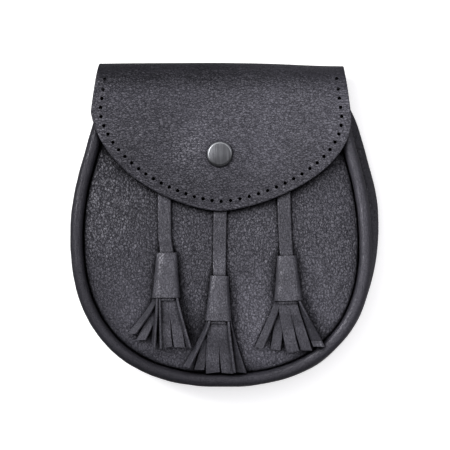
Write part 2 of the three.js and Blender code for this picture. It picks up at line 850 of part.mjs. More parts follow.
// Hanger: a flat strap that lies on the front panel and rises into the top of the sleeve
function tasselStrap(line) {
  const steps = 7;
  const sleeveTop = -sleeveLength;
  const inside = sleeveTop + strapShare * sleeveLength;
  const held = Math.min(hangerWidth / 2, line.sleeveHalf(0) - sleeveWall - sleeveRoom);
  const stops = [];
  for (let i = 0; i <= steps; i++) {
    stops.push(mix(-line.length, sleeveTop - hangerRamp, i / steps));
  }
  stops.push(sleeveTop - 0.5 * hangerRamp, sleeveTop, inside);
  const rings = stops.map((past) => {
    const share = clamp(1 + past / sleeveLength);
    const risen = ease((past - sleeveTop + hangerRamp) / hangerRamp);
    const middle = line.slant * risen * (1 - share);
    const reach = mix(hangerWidth / 2, held, risen);
    const [left, right] = [-reach, reach].map((aside) => line.place(past, middle + aside));
    const level = ({ x, y }) => {
      const lying = supportHeight(x, y) + gap;
      return mix(lying, sleeveLevel(line, share) - strapThickness / 2, risen);
    };
    return [
      new THREE.Vector3(left.x, left.y, level(left)),
      new THREE.Vector3(right.x, right.y, level(right)),
      new THREE.Vector3(right.x, right.y, level(right) + strapThickness),
      new THREE.Vector3(left.x, left.y, level(left) + strapThickness),
    ];
  });
  return loft(rings);
}

const stripSteps = 4;

function fringeStrip(line, { start, tip, reach, wide, turn, turnTip, layer }) {
  const mouthReach = line.sleeveHalf(1) - sleeveWall;
  const rings = [];
  for (let i = 0; i <= stripSteps; i++) {
    const share = i / stripSteps;
    const past = mix(gap, reach * fringeLength, share);
    const aside = mix(start * mouthReach, tip * fringeLength, share ** 1.15);
    const angle = THREE.MathUtils.degToRad(mix(turn, turnTip, share));
    const halfWide = (wide * stripWidth) / 2;
    const upright = halfWide * Math.sin(angle) + (stripThickness / 2) * Math.cos(angle);
    const bedded = layer * (stripThickness + gap);
    const flatReach = halfWide * Math.cos(angle);
    const under = [-flatReach, 0, flatReach].map((out) => line.place(past, aside + out));
    const support = Math.max(...under.map(({ x, y }) => supportHeight(x, y)));
    const lying = support + gap + upright + bedded;
    const held = sleeveLevel(line, 1) + (layer - 0.5) * stripThickness;
    const level = Math.max(lying, mix(held, lying, ease(1.6 * share)));
    const corners = [[-1, -1], [1, -1], [1, 1], [-1, 1]];
    rings.push(corners.map(([acrossSign, upSign]) => {
      const flat = acrossSign * halfWide;
      const thick = (upSign * stripThickness) / 2;
      const offset = flat * Math.cos(angle) - thick * Math.sin(angle);
      const above = flat * Math.sin(angle) + thick * Math.cos(angle);
      const place = line.place(past, aside + offset);
      return new THREE.Vector3(place.x, place.y, level + above);
    }));
  }
  return toSolid(loft(rings));
}

function tasselFringe(line, strips) {
  const shrink = sleeveWall + gap;
  const headStart = strapShare + (2 * gap) / sleeveLength;
  const headShares = [headStart, 0.7, 1, 1 + fringeCollar / sleeveLength];
  const rings = headShares.map((share) => softBoxRing(line, share, shrink, sleeveSides));
  const head = toSolid(loft(rings));
  return toGeometry(strips.reduce((solid, row) => solid.add(fringeStrip(line, row)), head));
}

// The object
function material(color, roughness, metalness) {
  return new THREE.MeshStandardMaterial({ color, roughness, metalness });
}

const pouch = new THREE.Group();
pouch.position.y = -height / 2;

function addPiece(name, geometry, finish) {
  const bare = shared(geometry);
  const places = bare.attributes.position;
  for (let i = 0; i < places.count; i++) {
    places.setX(i, places.getX(i) + leanShift(places.getY(i)));
  }
  bare.computeVertexNormals();
  const mesh = new THREE.Mesh(bare, finish);
  mesh.name = name;
  pouch.add(mesh);
}

addPiece('back_panel', backPanel(), material(0x2c2b2e, 0.62, 0));
addPiece('front_panel', frontPanel(), material(0x2f2e32, 0.6, 0));
addPiece('gusset', gusset(), material(0x232226, 0.6, 0));
addPiece('rim_roll', rimRoll(), material(0x29282c, 0.5, 0));
addPiece('flap', flap(), material(0x323136, 0.58, 0));
addPiece('belt_loop_left', beltLoop(-1), material(0x28272b, 0.6, 0));
addPiece('belt_loop_right', beltLoop(1), material(0x28272b, 0.6, 0));
addPiece('snap_cap', snapCap(), material(0x77797c, 0.35, 1));
addPiece('snap_stud', snapStud(), material(0x77797c, 0.35, 1));
for (const row of tasselPlaces) {
  const line = tasselLine(row);
  addPiece(`tassel_strap_${row.name}`, tasselStrap(line), material(0x2c2b2f, 0.52, 0));
  addPiece(`tassel_sleeve_${row.name}`, tasselSleeve(line), material(0x353439, 0.48, 0));
  const fringe = tasselFringe(line, fringeStrips[row.name]);
  addPiece(`tassel_fringe_${row.name}`, fringe, material(0x2a292d, 0.52, 0));
}

// The middle of the whole width stands over the origin
const reach = new THREE.Box3().setFromObject(pouch);
pouch.position.x = -(reach.min.x + reach.max.x) / 2;

const object = new THREE.Group();
object.add(pouch);

export default object;
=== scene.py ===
# Sporran pouch of black leather, lying on its back with its flap snapped shut.
# Sizes are millimetres on the maker's pattern, whose y runs up from the bottom of the pouch.

import math

import bmesh
import bpy
import numpy as np
from mathutils import Matrix, Vector, noise
from mathutils.geometry import delaunay_2d_cdt


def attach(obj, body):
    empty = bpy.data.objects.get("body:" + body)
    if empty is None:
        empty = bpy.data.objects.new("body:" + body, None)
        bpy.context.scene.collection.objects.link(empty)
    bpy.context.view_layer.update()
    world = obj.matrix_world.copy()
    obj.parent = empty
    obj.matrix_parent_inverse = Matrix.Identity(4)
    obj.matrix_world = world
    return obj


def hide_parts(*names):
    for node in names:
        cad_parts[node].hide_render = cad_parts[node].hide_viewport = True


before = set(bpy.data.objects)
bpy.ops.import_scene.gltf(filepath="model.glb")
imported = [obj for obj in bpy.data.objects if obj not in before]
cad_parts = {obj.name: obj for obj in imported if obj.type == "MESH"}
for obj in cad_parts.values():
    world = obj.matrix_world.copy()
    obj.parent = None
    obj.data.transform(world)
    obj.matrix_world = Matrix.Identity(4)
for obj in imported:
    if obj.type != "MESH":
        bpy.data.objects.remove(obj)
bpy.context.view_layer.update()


# Back panel: one piece of pebble-grained cowhide cut to the whole outline of the pouch. It is
# dished where it lies against the wearer, and its cut edge is burnished and sewn to the gusset.

pouch_width = 178
pouch_height = 190
widest_height = 87
lower_roundness = 2.35
side_arc_radius = 152
side_arc_rise = 40
sewn_gap = 0.45
flap_thickness = 2
panel_thickness = 2
back_inset = 0.6
lower_dish = 1.5
upper_dish = 7.79
loop_bottom, loop_top = 113, 156
back_top = 176
burnish_radius = 0.7
body_lean = 1.1
lean_start, lean_rise = 38, 75
body_centre = 0.764
sharp_angle = math.radians(50)
# The pattern's unit in the frame's metres, and a metre in the pattern's unit.
millimetre, metre = 0.001, 1000
# Distances of the rows of points that follow a cut edge.
edge_rows = (0.1, 0.3, 0.7, 1.6)

half = pouch_width / 2


def mix(start, end, share):
    return start + (end - start) * share


def ease(share):
    """A share held between 0 and 1 that starts and ends level."""
    part = min(1, max(0, share))
    return part * part * (3 - 2 * part)


def half_width(y):
    """Half of the width of the pouch: a full round bottom, an arc, and sides that lean in."""
    if y < widest_height:
        below = min(1, (widest_height - y) / widest_height)
        return half * (1 - below ** lower_roundness) ** (1 / lower_roundness)
    rise = min(y - widest_height, side_arc_rise)
    arc_level = math.sqrt(side_arc_radius ** 2 - rise ** 2)
    straight = max(0, y - widest_height - side_arc_rise)
    return half - (side_arc_radius - arc_level) - straight * rise / arc_level


def edge_share(x, y, inset):
    """How far a point lies on its way from the middle line to a line inside the outline."""
    if y >= widest_height:
        return abs(x) / (half_width(y) - inset)
    across = abs(x) / (half - inset)
    down = (widest_height - y) / (widest_height - inset)
    return (across ** lower_roundness + down ** lower_roundness) ** (1 / lower_roundness)


def back_lift(y):
    """The back rises to lie over the sewn tail of the flap."""
    return (flap_thickness + sewn_gap) * ease((y - loop_bottom) / (loop_top - loop_bottom))


def back_height(x, y):
    level_share = 0.35
    dish_start = 0.2 * pouch_height
    share = edge_share(x, y, back_inset)
    shape = 1 - ease((share - level_share) / (1 - level_share))
    dish = mix(lower_dish, upper_dish, ease((y - dish_start) / (loop_bottom - dish_start)))
    return back_lift(y) + dish * shape


def outline_line():
    """The outline from its right top corner round the bottom to the left top corner."""
    side_points, round_points = 81, 161
    side = [(half_width(y), y) for y in np.linspace(pouch_height, widest_height, side_points)]
    power = 2 / lower_roundness
    angles = np.linspace(0, math.pi / 2, round_points)[1:]
    below = [(half * abs(math.cos(a)) ** power, widest_height * (1 - math.sin(a) ** power))
             for a in angles]
    right = np.array(side + below)
    return np.vstack([right, right[-2::-1] * (-1, 1)])


def side_normals(line):
    """Unit vectors to the left of a line's course, one at each of its points."""
    along = np.gradient(line, axis=0)
    along /= np.linalg.norm(along, axis=1)[:, None]
    return np.column_stack([-along[:, 1], along[:, 0]])


outline = outline_line()
outline_normals = side_normals(outline)


def edge_path(inset, top, steps):
    """Even stations on a line inside the outline, cut off level at its top, and their normals."""
    line = outline - outline_normals * inset
    first = int(np.argmax(line[:, 1] <= top))
    share = (line[first - 1, 1] - top) / (line[first - 1, 1] - line[first, 1])
    start = mix(line[first - 1], line[first], share)
    normal = mix(outline_normals[first - 1], outline_normals[first], share)
    kept = slice(first, len(line) - first)
    points = np.vstack([start, line[kept], start * (-1, 1)])
    normals = np.vstack([normal, outline_normals[kept], normal * (-1, 1)])
    lengths = np.append(0, np.cumsum(np.linalg.norm(np.diff(points, axis=0), axis=1)))
    wanted = np.linspace(0, lengths[-1], steps + 1)
    stations = np.column_stack([np.interp(wanted, lengths, points[:, k]) for k in (0, 1)])
    outward = np.column_stack([np.interp(wanted, lengths, normals[:, k]) for k in (0, 1)])
    return stations, outward / np.linalg.norm(outward, axis=1)[:, None]


def edge_distance(points, edge):
    """Distance of each point from a closed line."""
    ends = np.roll(edge, -1, axis=0)
    nearest = np.full(len(points), np.inf)
    for start, end in zip(edge, ends):
        along = end - start
        reach = np.clip((points - start) @ along / (along @ along), 0, 1)
        away = points - start - reach[:, None] * along
        nearest = np.minimum(nearest, np.hypot(away[:, 0], away[:, 1]))
    return nearest


def within(points, edge):
    """Whether each point lies inside a closed line."""
    inside = np.zeros(len(points), bool)
    for (x0, y0), (x1, y1) in zip(edge, np.roll(edge, -1, axis=0)):
        if y0 != y1:
            crossed = (points[:, 1] < y0) != (points[:, 1] < y1)
            reach = x0 + (points[:, 1] - y0) * (x1 - x0) / (y1 - y0)
            inside ^= crossed & (points[:, 0] < reach)
    return inside


def cut_sheet(edge, spacing):
    """Plan of a sheet cut along a closed line that runs anticlockwise: points and triangles.
    Rows of points follow the cut edge, so that it can be rounded."""
    clear_share, merge_distance = 0.6, 1e-4
    inward = side_normals(np.vstack([edge[-1], edge, edge[0]]))[1:-1]
    rows = [edge] + [edge + inward * inset for inset in edge_rows]
    low, high = edge.min(0), edge.max(0)
    row_step = spacing * math.sqrt(3) / 2
    grid = [(x + (k % 2) * spacing / 2, y)
            for k, y in enumerate(np.arange(low[1], high[1], row_step))
            for x in np.arange(low[0], high[0], spacing)]
    grid = np.array(grid)
    grid = grid[within(grid, edge)]
    rows.append(grid[edge_distance(grid, edge) > edge_rows[-1] + clear_share * spacing])
    places = [Vector(p) for p in np.vstack(rows)]
    ring = list(range(len(edge)))
    made = delaunay_2d_cdt(places, [], [ring], 1, merge_distance)
    points = np.array([tuple(p) for p in made[0]])
    return points, [tuple(f) for f in made[2]], edge_distance(points, edge)


def metres(points):
    """Places on the pattern, in the frame's metres. The soft body leans to the left."""
    placed = np.array(points, float)
    settled = np.array([ease((y - lean_start) / lean_rise) for y in placed[:, 1]])
    placed[:, 0] -= body_centre + body_lean * settled
    placed[:, 1] -= pouch_height / 2
    return placed * millimetre


def solid_mesh(name, points, faces, material):
    """A closed mesh with its faces pointing out, shaded round where it bends gently."""
    mesh = bpy.data.meshes.new(name)
    mesh.from_pydata(metres(points).tolist(), [], faces)
    shell = bmesh.new()
    shell.from_mesh(mesh)
    bmesh.ops.recalc_face_normals(shell, faces=shell.faces)
    shell.to_mesh(mesh)
    shell.free()
    mesh.shade_smooth()
    mesh.set_sharp_from_angle(angle=sharp_angle)
    mesh.materials.append(material)
    return mesh


def laid_sheet(name, plan, place, thickness, material):
    """A sheet of leather laid on a form. place gives the inner face's point and the normal
    for a point of the plan. Both faces bend together at the cut edge."""
    points, triangles, depth = plan
    near = np.minimum(depth, burnish_radius)
    drawn_in = burnish_radius - np.sqrt(burnish_radius ** 2 - (burnish_radius - near) ** 2)
    inner, outer = [], []
    for (x, y), drop in zip(points, drawn_in):
        base, normal = place(x, y)
        inner.append(base + normal * drop)
        outer.append(base + normal * (thickness - drop))
    count = len(points)
    faces = [(a, c, b) for a, b, c in triangles]
    faces += [(a + count, b + count, c + count) for a, b, c in triangles]
    used = {}
    for a, b, c in triangles:
        for edge in ((a, b), (b, c), (c, a)):
            used[edge] = used.get(edge, 0) + 1
    for a, b in used:
        if (b, a) not in used:
            faces.append((a, b, b + count, a + count))
    return solid_mesh(name, np.array(inner + outer), faces, material)


def show(name, mesh, slot, *nodes):
    """A finished piece, which stands in for its CAD nodes."""
    piece = bpy.data.objects.new(name, mesh)
    bpy.context.scene.collection.objects.link(piece)
    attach(piece, "root")
    if nodes:
        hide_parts(*nodes)
    return piece


def add(tree, kind, sockets=(), **settings):
    """A node with its settings, and its sockets set to values or linked to outputs."""
    made = tree.nodes.new(kind)
    for key, value in settings.items():
        setattr(made, key, value)
    for key, value in dict(sockets).items():
        if isinstance(value, bpy.types.NodeSocket):
            tree.links.new(value, made.inputs[key])
        else:
            made.inputs[key].default_value = value
    return made


def thin_lines(tree, field, width):
    """0 on the lines where a noise crosses its middle, and 1 from a width off them."""
    middle = 0.5
    off = add(tree, "ShaderNodeMath", {0: field.outputs["Fac"], 1: middle},
              operation="SUBTRACT")
    away = add(tree, "ShaderNodeMath", {0: off.outputs[0]}, operation="ABSOLUTE")
    return add(tree, "ShaderNodeMapRange", {"Value": away.outputs[0], "From Max": width},
               interpolation_type="SMOOTHSTEP").outputs["Result"]


def leather_grain():
    """Shader group: pebbles with valleys between them, long creases, and uneven patches."""
    valley_width, crease_width, wrinkle_width = 0.085, 0.07, 0.035
    dome_depth, valley_depth, fine_depth = 0.55, 0.7, 0.15
    warp = (1.1, 1.1, 1.1)
    group = bpy.data.node_groups.new("leather_grain", "ShaderNodeTree")
    for label, kind, value in (
        ("Pebbles Per Metre", "NodeSocketVector", (800, 800, 800)),
        ("Creases Per Metre", "NodeSocketVector", (60, 60, 60)),
        ("Crease Share", "NodeSocketFloat", 0.3),
        ("Patches Per Metre", "NodeSocketFloat", 34),
        ("Roughness Low", "NodeSocketFloat", 0.4),
        ("Roughness High", "NodeSocketFloat", 0.6),
    ):
        socket = group.interface.new_socket(label, in_out="INPUT", socket_type=kind)
        socket.default_value = value
    for label in ("Height", "Relief", "Patches", "Roughness"):
        group.interface.new_socket(label, in_out="OUTPUT", socket_type="NodeSocketFloat")
    given = group.nodes.new("NodeGroupInput").outputs
    place = add(group, "ShaderNodeTexCoord").outputs["Object"]
    cells = add(group, "ShaderNodeVectorMath", {0: place, 1: given["Pebbles Per Metre"]},
                operation="MULTIPLY").outputs[0]
    drift = add(group, "ShaderNodeTexNoise", {"Vector": cells, "Scale": 0.5, "Detail": 2})
    warped = add(group, "ShaderNodeVectorMath",
                 {0: drift.outputs["Color"], 1: warp, 2: cells},
                 operation="MULTIPLY_ADD").outputs[0]
    pebble = add(group, "ShaderNodeTexVoronoi", {"Vector": warped, "Scale": 1.0},
                 feature="F1").outputs["Distance"]
    valley_away = add(group, "ShaderNodeTexVoronoi", {"Vector": warped, "Scale": 1.0},
                      feature="DISTANCE_TO_EDGE").outputs["Distance"]
    valley = add(group, "ShaderNodeMapRange", {"Value": valley_away, "From Max": valley_width},
                 interpolation_type="SMOOTHSTEP").outputs["Result"]
    fine = add(group, "ShaderNodeTexNoise", {"Vector": cells, "Scale": 2.6, "Detail": 3})
    stretched = add(group, "ShaderNodeVectorMath", {0: place, 1: given["Creases Per Metre"]},
                    operation="MULTIPLY").outputs[0]
    folds = add(group, "ShaderNodeTexNoise", {"Vector": stretched, "Scale": 1, "Detail": 4})
    crease = thin_lines(group, folds, crease_width)
    patches = add(group, "ShaderNodeTexNoise", {"Vector": place, "Detail": 3,
                                                 "Scale": given["Patches Per Metre"]})
    dome = add(group, "ShaderNodeMath", {0: pebble, 1: -dome_depth, 2: dome_depth},
               operation="MULTIPLY_ADD").outputs[0]
    wrinkles = add(group, "ShaderNodeTexNoise", {"Vector": cells, "Scale": 0.8, "Detail": 3,
                                                 "Roughness": 0.6})
    wrinkle = thin_lines(group, wrinkles, wrinkle_width)
    relief = add(group, "ShaderNodeMath", {0: valley, 1: wrinkle},
                 operation="MULTIPLY").outputs[0]
    height = add(group, "ShaderNodeMath", {0: relief, 1: valley_depth, 2: dome},
                 operation="MULTIPLY_ADD").outputs[0]
    height = add(group, "ShaderNodeMath", {0: fine.outputs["Fac"], 1: fine_depth, 2: height},
                 operation="MULTIPLY_ADD").outputs[0]
    height = add(group, "ShaderNodeMath",
                 {0: crease, 1: given["Crease Share"], 2: height},
                 operation="MULTIPLY_ADD").outputs[0]
    uneven = add(group, "ShaderNodeMath", {0: patches.outputs["Fac"], 1: valley},
                 operation="MULTIPLY").outputs[0]
    rough = add(group, "ShaderNodeMapRange",
                {"Value": uneven, "From Min": 0.6, "From Max": 0.2,
                 "To Min": given["Roughness Low"], "To Max": given["Roughness High"]})
    put = group.nodes.new("NodeGroupOutput")
    group.links.new(height, put.inputs["Height"])
    group.links.new(relief, put.inputs["Relief"])
    group.links.new(patches.outputs["Fac"], put.inputs["Patches"])
    group.links.new(rough.outputs["Result"], put.inputs["Roughness"])
    return group


grain = leather_grain()


def leather(name, hollow, raised, pebbles, creases, crease_share, roughness, depth,
            shade_reach=6, patch=30):
    """Dyed leather. hollow and raised are its colours in and between the valleys of its grain,
    pebbles and creases their sizes along x, y and z, depth the height of its grain and patch
    the size of its uneven patches. Shade is painted into its colour and sheen by an occlusion
    mask, darker in seams, creases and next to other pieces, out to a distance in millimetres."""
    material = bpy.data.materials.new(name)
    material.use_nodes = True
    tree = material.node_tree
    tree.nodes.clear()
    skin = add(tree, "ShaderNodeGroup", node_tree=grain)
    skin.inputs["Pebbles Per Metre"].default_value = [metre / size for size in pebbles]
    skin.inputs["Creases Per Metre"].default_value = [metre / size for size in creases]
    skin.inputs["Crease Share"].default_value = crease_share
    skin.inputs["Patches Per Metre"].default_value = metre / patch
    skin.inputs["Roughness Low"].default_value = roughness[0]
    skin.inputs["Roughness High"].default_value = roughness[1]
    dyed = add(tree, "ShaderNodeMix", {"Factor": skin.outputs["Relief"],
                                       "A": (*hollow, 1), "B": (*raised, 1)},
               data_type="RGBA")
    worn = add(tree, "ShaderNodeMapRange", {"Value": skin.outputs["Patches"], "From Min": 0.35,
                                            "From Max": 0.65, "To Min": 0.8, "To Max": 1.18})
    # Painted shade: an occlusion mask darkens the colour and the sheen near other surfaces.
    occlusion = add(tree, "ShaderNodeAmbientOcclusion", {"Distance": shade_reach * millimetre},
                  samples=6)
    occlusion_shade = add(tree, "ShaderNodeMapRange", {"Value": occlusion.outputs["AO"], "From Min": 0.42,
                                              "From Max": 0.97, "To Min": 0.03},
                 interpolation_type="SMOOTHSTEP")
    # Share of painted light: the painted shade from occlusion, times painted light bands linked
    # in later.
    polished = add(tree, "ShaderNodeMath", {0: occlusion_shade.outputs["Result"], 1: 1.0},
                   name="polished", operation="MULTIPLY").outputs[0]
    patches_and_painted_light = add(tree, "ShaderNodeMath", {0: worn.outputs["Result"], 1: polished},
               operation="MULTIPLY")
    colour = add(tree, "ShaderNodeVectorMath", {0: dyed.outputs["Result"],
                                                1: patches_and_painted_light.outputs[0]}, operation="MULTIPLY")
    rubbed = add(tree, "ShaderNodeMapRange", {"Value": skin.outputs["Relief"],
                                              "To Min": 0.32, "To Max": 0.74})
    sheen = add(tree, "ShaderNodeMath", {0: polished, 1: rubbed.outputs["Result"]},
                operation="MULTIPLY")
    bump = add(tree, "ShaderNodeBump", {"Height": skin.outputs["Height"], "Strength": 1.0,
                                        "Distance": depth * millimetre})
    shader = add(tree, "ShaderNodeBsdfPrincipled", {
        "Base Color": colour.outputs[0], "Roughness": skin.outputs["Roughness"],
        "Normal": bump.outputs["Normal"], "Specular Tint": (0.93, 0.915, 1.0, 1),
        "Specular IOR Level": sheen.outputs[0]})
    end = tree.nodes.new("ShaderNodeOutputMaterial")
    tree.links.new(shader.outputs[0], end.inputs["Surface"])
    return material


def paint_light_bands(material, *bands):
    """Paints broad light and shade into a leather's colour and sheen. Each band gives its
    axis, where it starts and ends along that in metres, and the share of painted light before
    and after it."""
    tree = material.node_tree
    spot = add(tree, "ShaderNodeTexCoord").outputs["Object"]
    along = add(tree, "ShaderNodeSeparateXYZ", {0: spot}).outputs
    share = 1.0
    for axis, start, end, before, after in bands:
        band = add(tree, "ShaderNodeMapRange", {
            "Value": along[axis], "From Min": start, "From Max": end, "To Min": before,
            "To Max": after}, interpolation_type="SMOOTHSTEP")
        share = add(tree, "ShaderNodeMath", {0: band.outputs["Result"], 1: share},
                    operation="MULTIPLY").outputs[0]
    tree.links.new(share, tree.nodes["polished"].inputs[1])


panel_leather = leather(
    "panel_leather", (0.015, 0.0147, 0.0185), (0.034, 0.0332, 0.042), pebbles=(1.55, 2.0, 1.8),
    creases=(4, 11, 8), crease_share=0.9, roughness=(0.32, 0.44), depth=0.25, shade_reach=14)
# Painted light: the panels are lighter towards their bottom and right side, and darker towards
# their top and left side.
paint_light_bands(panel_leather, ("Y", -0.07, -0.015, 1.75, 1.0), ("Y", -0.03, 0.03, 1.0, 0.8),
        ("X", -0.08, 0.06, 0.84, 1.2))


def waver(across, along, layer):
    """Slow noise in a plane, between -1 and 1. Each layer has a pattern of its own."""
    return noise.noise(Vector((across, along, layer)))


def ripple(x, y, size, depth):
    """Slow rise and fall of a leather face."""
    return depth * waver(x / size, y / size, layer=3.7)


def panel_edge(inset, top, steps):
    """Closed edge of a panel inside the outline, anticlockwise from its left top corner."""
    top_points = 60
    line = edge_path(inset, top, steps)[0][::-1]
    across = np.linspace(line[-1], line[0], top_points)[1:-1]
    return np.vstack([line, across])


def on_back(x, y):
    return np.array([x, y, back_height(x, y)]), np.array([0, 0, 1.0])


back_plan = cut_sheet(panel_edge(back_inset, back_top, steps=260), spacing=2.4)
show("back_leather", laid_sheet("back_leather", back_plan, on_back, panel_thickness,
                                panel_leather), "panel_leather", "back_panel")


# Belt loops: two straps on the back for a belt or a chain strap. Their ends are sewn flat to
# the back panel, and their middles stand off it.

loop_spacing = 76
loop_width = 14
loop_thickness = 1.8
loop_tab = 5
loop_ramp = 6
loop_corner = 1.5
loop_grid = 1.5


def loop_level(x, y):
    """Rear face of a belt loop: flat in its middle, against the back panel at its ends."""
    above = (y - (loop_top - loop_tab - loop_ramp)) / loop_ramp
    below = (loop_bottom + loop_tab + loop_ramp - y) / loop_ramp
    return ease(max(above, below)) * (back_height(x, y) - sewn_gap - loop_thickness)


def strap_edge(middle, width, low, high, corner, spacing):
    """Closed edge of a strap with rounded corners, anticlockwise."""
    corner_points = 7
    points = []
    reach = width / 2 - corner
    for turn, (x, y) in enumerate(((reach, low + corner), (reach, high - corner),
                                   (-reach, high - corner), (-reach, low + corner))):
        for angle in np.linspace(-90, 0, corner_points) + 90 * turn:
            points.append((middle + x + corner * math.cos(math.radians(angle)),
                           y + corner * math.sin(math.radians(angle))))
    filled = []
    for start, end in zip(points, points[1:] + points[:1]):
        steps = max(1, round(math.dist(start, end) / spacing))
        filled += [mix(np.array(start), np.array(end), k / steps) for k in range(steps)]
    return np.array(filled)


def on_loop(x, y):
    return np.array([x, y, loop_level(x, y)]), np.array([0, 0, 1.0])


for side, word in ((-1, "left"), (1, "right")):
    loop_plan = cut_sheet(strap_edge(side * loop_spacing / 2, loop_width, loop_bottom, loop_top,
                                     loop_corner, loop_grid), loop_grid)
    show(f"loop_leather_{word}", laid_sheet(f"loop_leather_{word}", loop_plan, on_loop,
                                            loop_thickness, panel_leather),
         "panel_leather", f"belt_loop_{word}")


# Gusset: a strip of leather bent round the sides and the bottom. Its lower lip is sewn to the
# back panel and its upper lip to the rolled rim, and it gives the pouch its depth.

bottom_depth = 28
mouth_depth = 18
roll_radius = 3.8
gap = 0.3
gusset_thickness = 1.8
gusset_lip = 7
gusset_top = 172
gusset_setback = 0.25
# Where the pouch starts to get thinner and how long that takes, as shares of its height.
taper_start, taper_length = 0.32, 0.57
side_bulge = 4.2
bulge_start, bulge_rise = 48, 62
bulge_fade_start, bulge_fade = 148, 28
# Rows give shares of the lip's length, of the height between the lips and of the bulge.
gusset_section = ((1.0, 0.0, 0.0), (0.3, 0.0, 0.15), (0.06, 0.1, 0.65), (0.0, 0.35, 1.0),
                  (0.03, 0.65, 0.9), (0.3, 1.0, 0.3), (0.95, 1.0, 0.0))
gusset_steps = 220


def towards_mouth(y):
    """The pouch gets thinner from its full bottom to its mouth."""
    return ease((y - taper_start * pouch_height) / (taper_length * pouch_height))


def seam_height(y):
    return mix(bottom_depth, mouth_depth, towards_mouth(y))


def softened(line, rounds):
    """A line with its corners cut off, over and over."""
    near, far = 0.75, 0.25
    for _ in range(rounds):
        first = line[:-1] * near + line[1:] * far
        second = line[:-1] * far + line[1:] * near
        line = np.vstack([line[:1], np.stack([first, second], 1).reshape(-1, 2), line[-1:]])
    return line


def gusset_ring(point, normal):
    """Closed section of the gusset at a station of the outline."""
    filled = ease((point[1] - bulge_start) / bulge_rise)
    filled *= 1 - ease((point[1] - bulge_fade_start) / bulge_fade)
    bulge = side_bulge * filled if point[0] > 0 else 0
    line = []
    for inset, rise, bow in gusset_section:
        deep = inset * gusset_lip - bow * bulge
        x, y = point - normal * deep
        low = back_height(x, y) + panel_thickness + gap
        high = seam_height(y) - roll_radius - gap
        line.append((deep, mix(low, high, rise)))
    line = softened(np.array(line), rounds=2)
    pucker = ripple(point[0], point[1], size=16, depth=0.5)
    shares = np.linspace(0, 1, len(line))
    line[:, 0] += gusset_setback + pucker * np.sin(math.pi * shares)
    inner = line - side_normals(line) * gusset_thickness
    ring = np.vstack([line, inner[::-1]])
    places = point - normal * ring[:, :1]
    return np.column_stack([places, ring[:, 1]])


def loft(rings, open_ends=False):
    """Points and faces of a body through a row of closed rings."""
    count = len(rings[0])
    faces = []
    for k in range(len(rings) - 1):
        for i in range(count):
            j = (i + 1) % count
            faces.append((k * count + i, k * count + j, (k + 1) * count + j,
                          (k + 1) * count + i))
    if not open_ends:
        last = (len(rings) - 1) * count
        for i in range(count // 2 - 1):
            far = count - 1 - i
            faces.append((i, far, far - 1, i + 1))
            faces.append((last + i, last + i + 1, last + far - 1, last + far))
    return np.vstack(rings), faces


gusset_rings = [gusset_ring(*station) for station in zip(*edge_path(0, gusset_top, gusset_steps))]
show("gusset_leather", solid_mesh("gusset_leather", *loft(gusset_rings), panel_leather),
     "panel_leather", "gusset")


# Rolled rim: a strip of finer leather rolled over a filler cord. It runs round the front edge
# from one corner of the mouth to the other, and is sewn in between gusset and front panel.

roll_setback = 0.9
roll_inset = roll_setback + roll_radius
roll_top = 174
roll_steps = 300

rim_leather = leather(
    "rim_leather", (0.014, 0.0135, 0.018), (0.02, 0.019, 0.025), pebbles=(1.1, 1.3, 1.2),
    creases=(9, 9, 9), crease_share=0.2, roughness=(0.36, 0.48), depth=0.12)
# Painted light: the rim is lighter on its right side, and darker on its left side and along its
# bottom.
paint_light_bands(rim_leather, ("X", -0.07, 0.07, 0.75, 1.35), ("Y", -0.09, -0.06, 0.7, 1.0))


def shape_tree(name, sizes):
    """Geometry Nodes tree with a geometry socket and one named input for each size."""
    tree = bpy.data.node_groups.new(name, "GeometryNodeTree")
    tree.is_modifier = True
    tree.interface.new_socket("Geometry", in_out="INPUT", socket_type="NodeSocketGeometry")
    for label, kind in sizes.items():
        tree.interface.new_socket(label, in_out="INPUT", socket_type=kind)
    tree.interface.new_socket("Geometry", in_out="OUTPUT", socket_type="NodeSocketGeometry")
    return tree, tree.nodes.new("NodeGroupInput").outputs


def finish_tree(tree, geometry, material):
    """Ends a tree: its instances made real, its faces shaded round, its material set."""
    real = add(tree, "GeometryNodeRealizeInstances", {"Geometry": geometry})
    round_faces = add(tree, "GeometryNodeSetShadeSmooth", {"Geometry": real.outputs[0]})
    dressed = add(tree, "GeometryNodeSetMaterial", {"Geometry": round_faces.outputs[0],
                                                    "Material": material})
    end = tree.nodes.new("NodeGroupOutput")
    tree.links.new(dressed.outputs[0], end.inputs["Geometry"])


def grown(name, start, tree, values):
    """The plain mesh that a tree makes from a starting mesh."""
    seed = bpy.data.objects.new(name, start)
    modifier = seed.modifiers.new("form", "NODES")
    modifier.node_group = tree
    for socket in tree.interface.items_tree:
        if socket.in_out == "INPUT" and socket.name in values:
            modifier[socket.identifier] = values[socket.name]
    bpy.context.scene.collection.objects.link(seed)
    depsgraph = bpy.context.evaluated_depsgraph_get()
    mesh = bpy.data.meshes.new_from_object(seed.evaluated_get(depsgraph), depsgraph=depsgraph)
    bpy.data.objects.remove(seed)
    mesh.name = name
    return mesh


def path_mesh(name, rows, facing=None):
    """Lines of edges through rows of places, with the way that each place faces."""
    mesh = bpy.data.meshes.new(name)
    edges = []
    count = 0
    for row in rows:
        edges += [(i, i + 1) for i in range(count, count + len(row) - 1)]
        count += len(row)
    mesh.from_pydata(metres(np.vstack(rows)).tolist(), edges, [])
    if facing is not None:
        values = mesh.attributes.new("facing", "FLOAT_VECTOR", "POINT")
        values.data.foreach_set("vector", np.vstack(facing).astype(float).ravel())
    return mesh


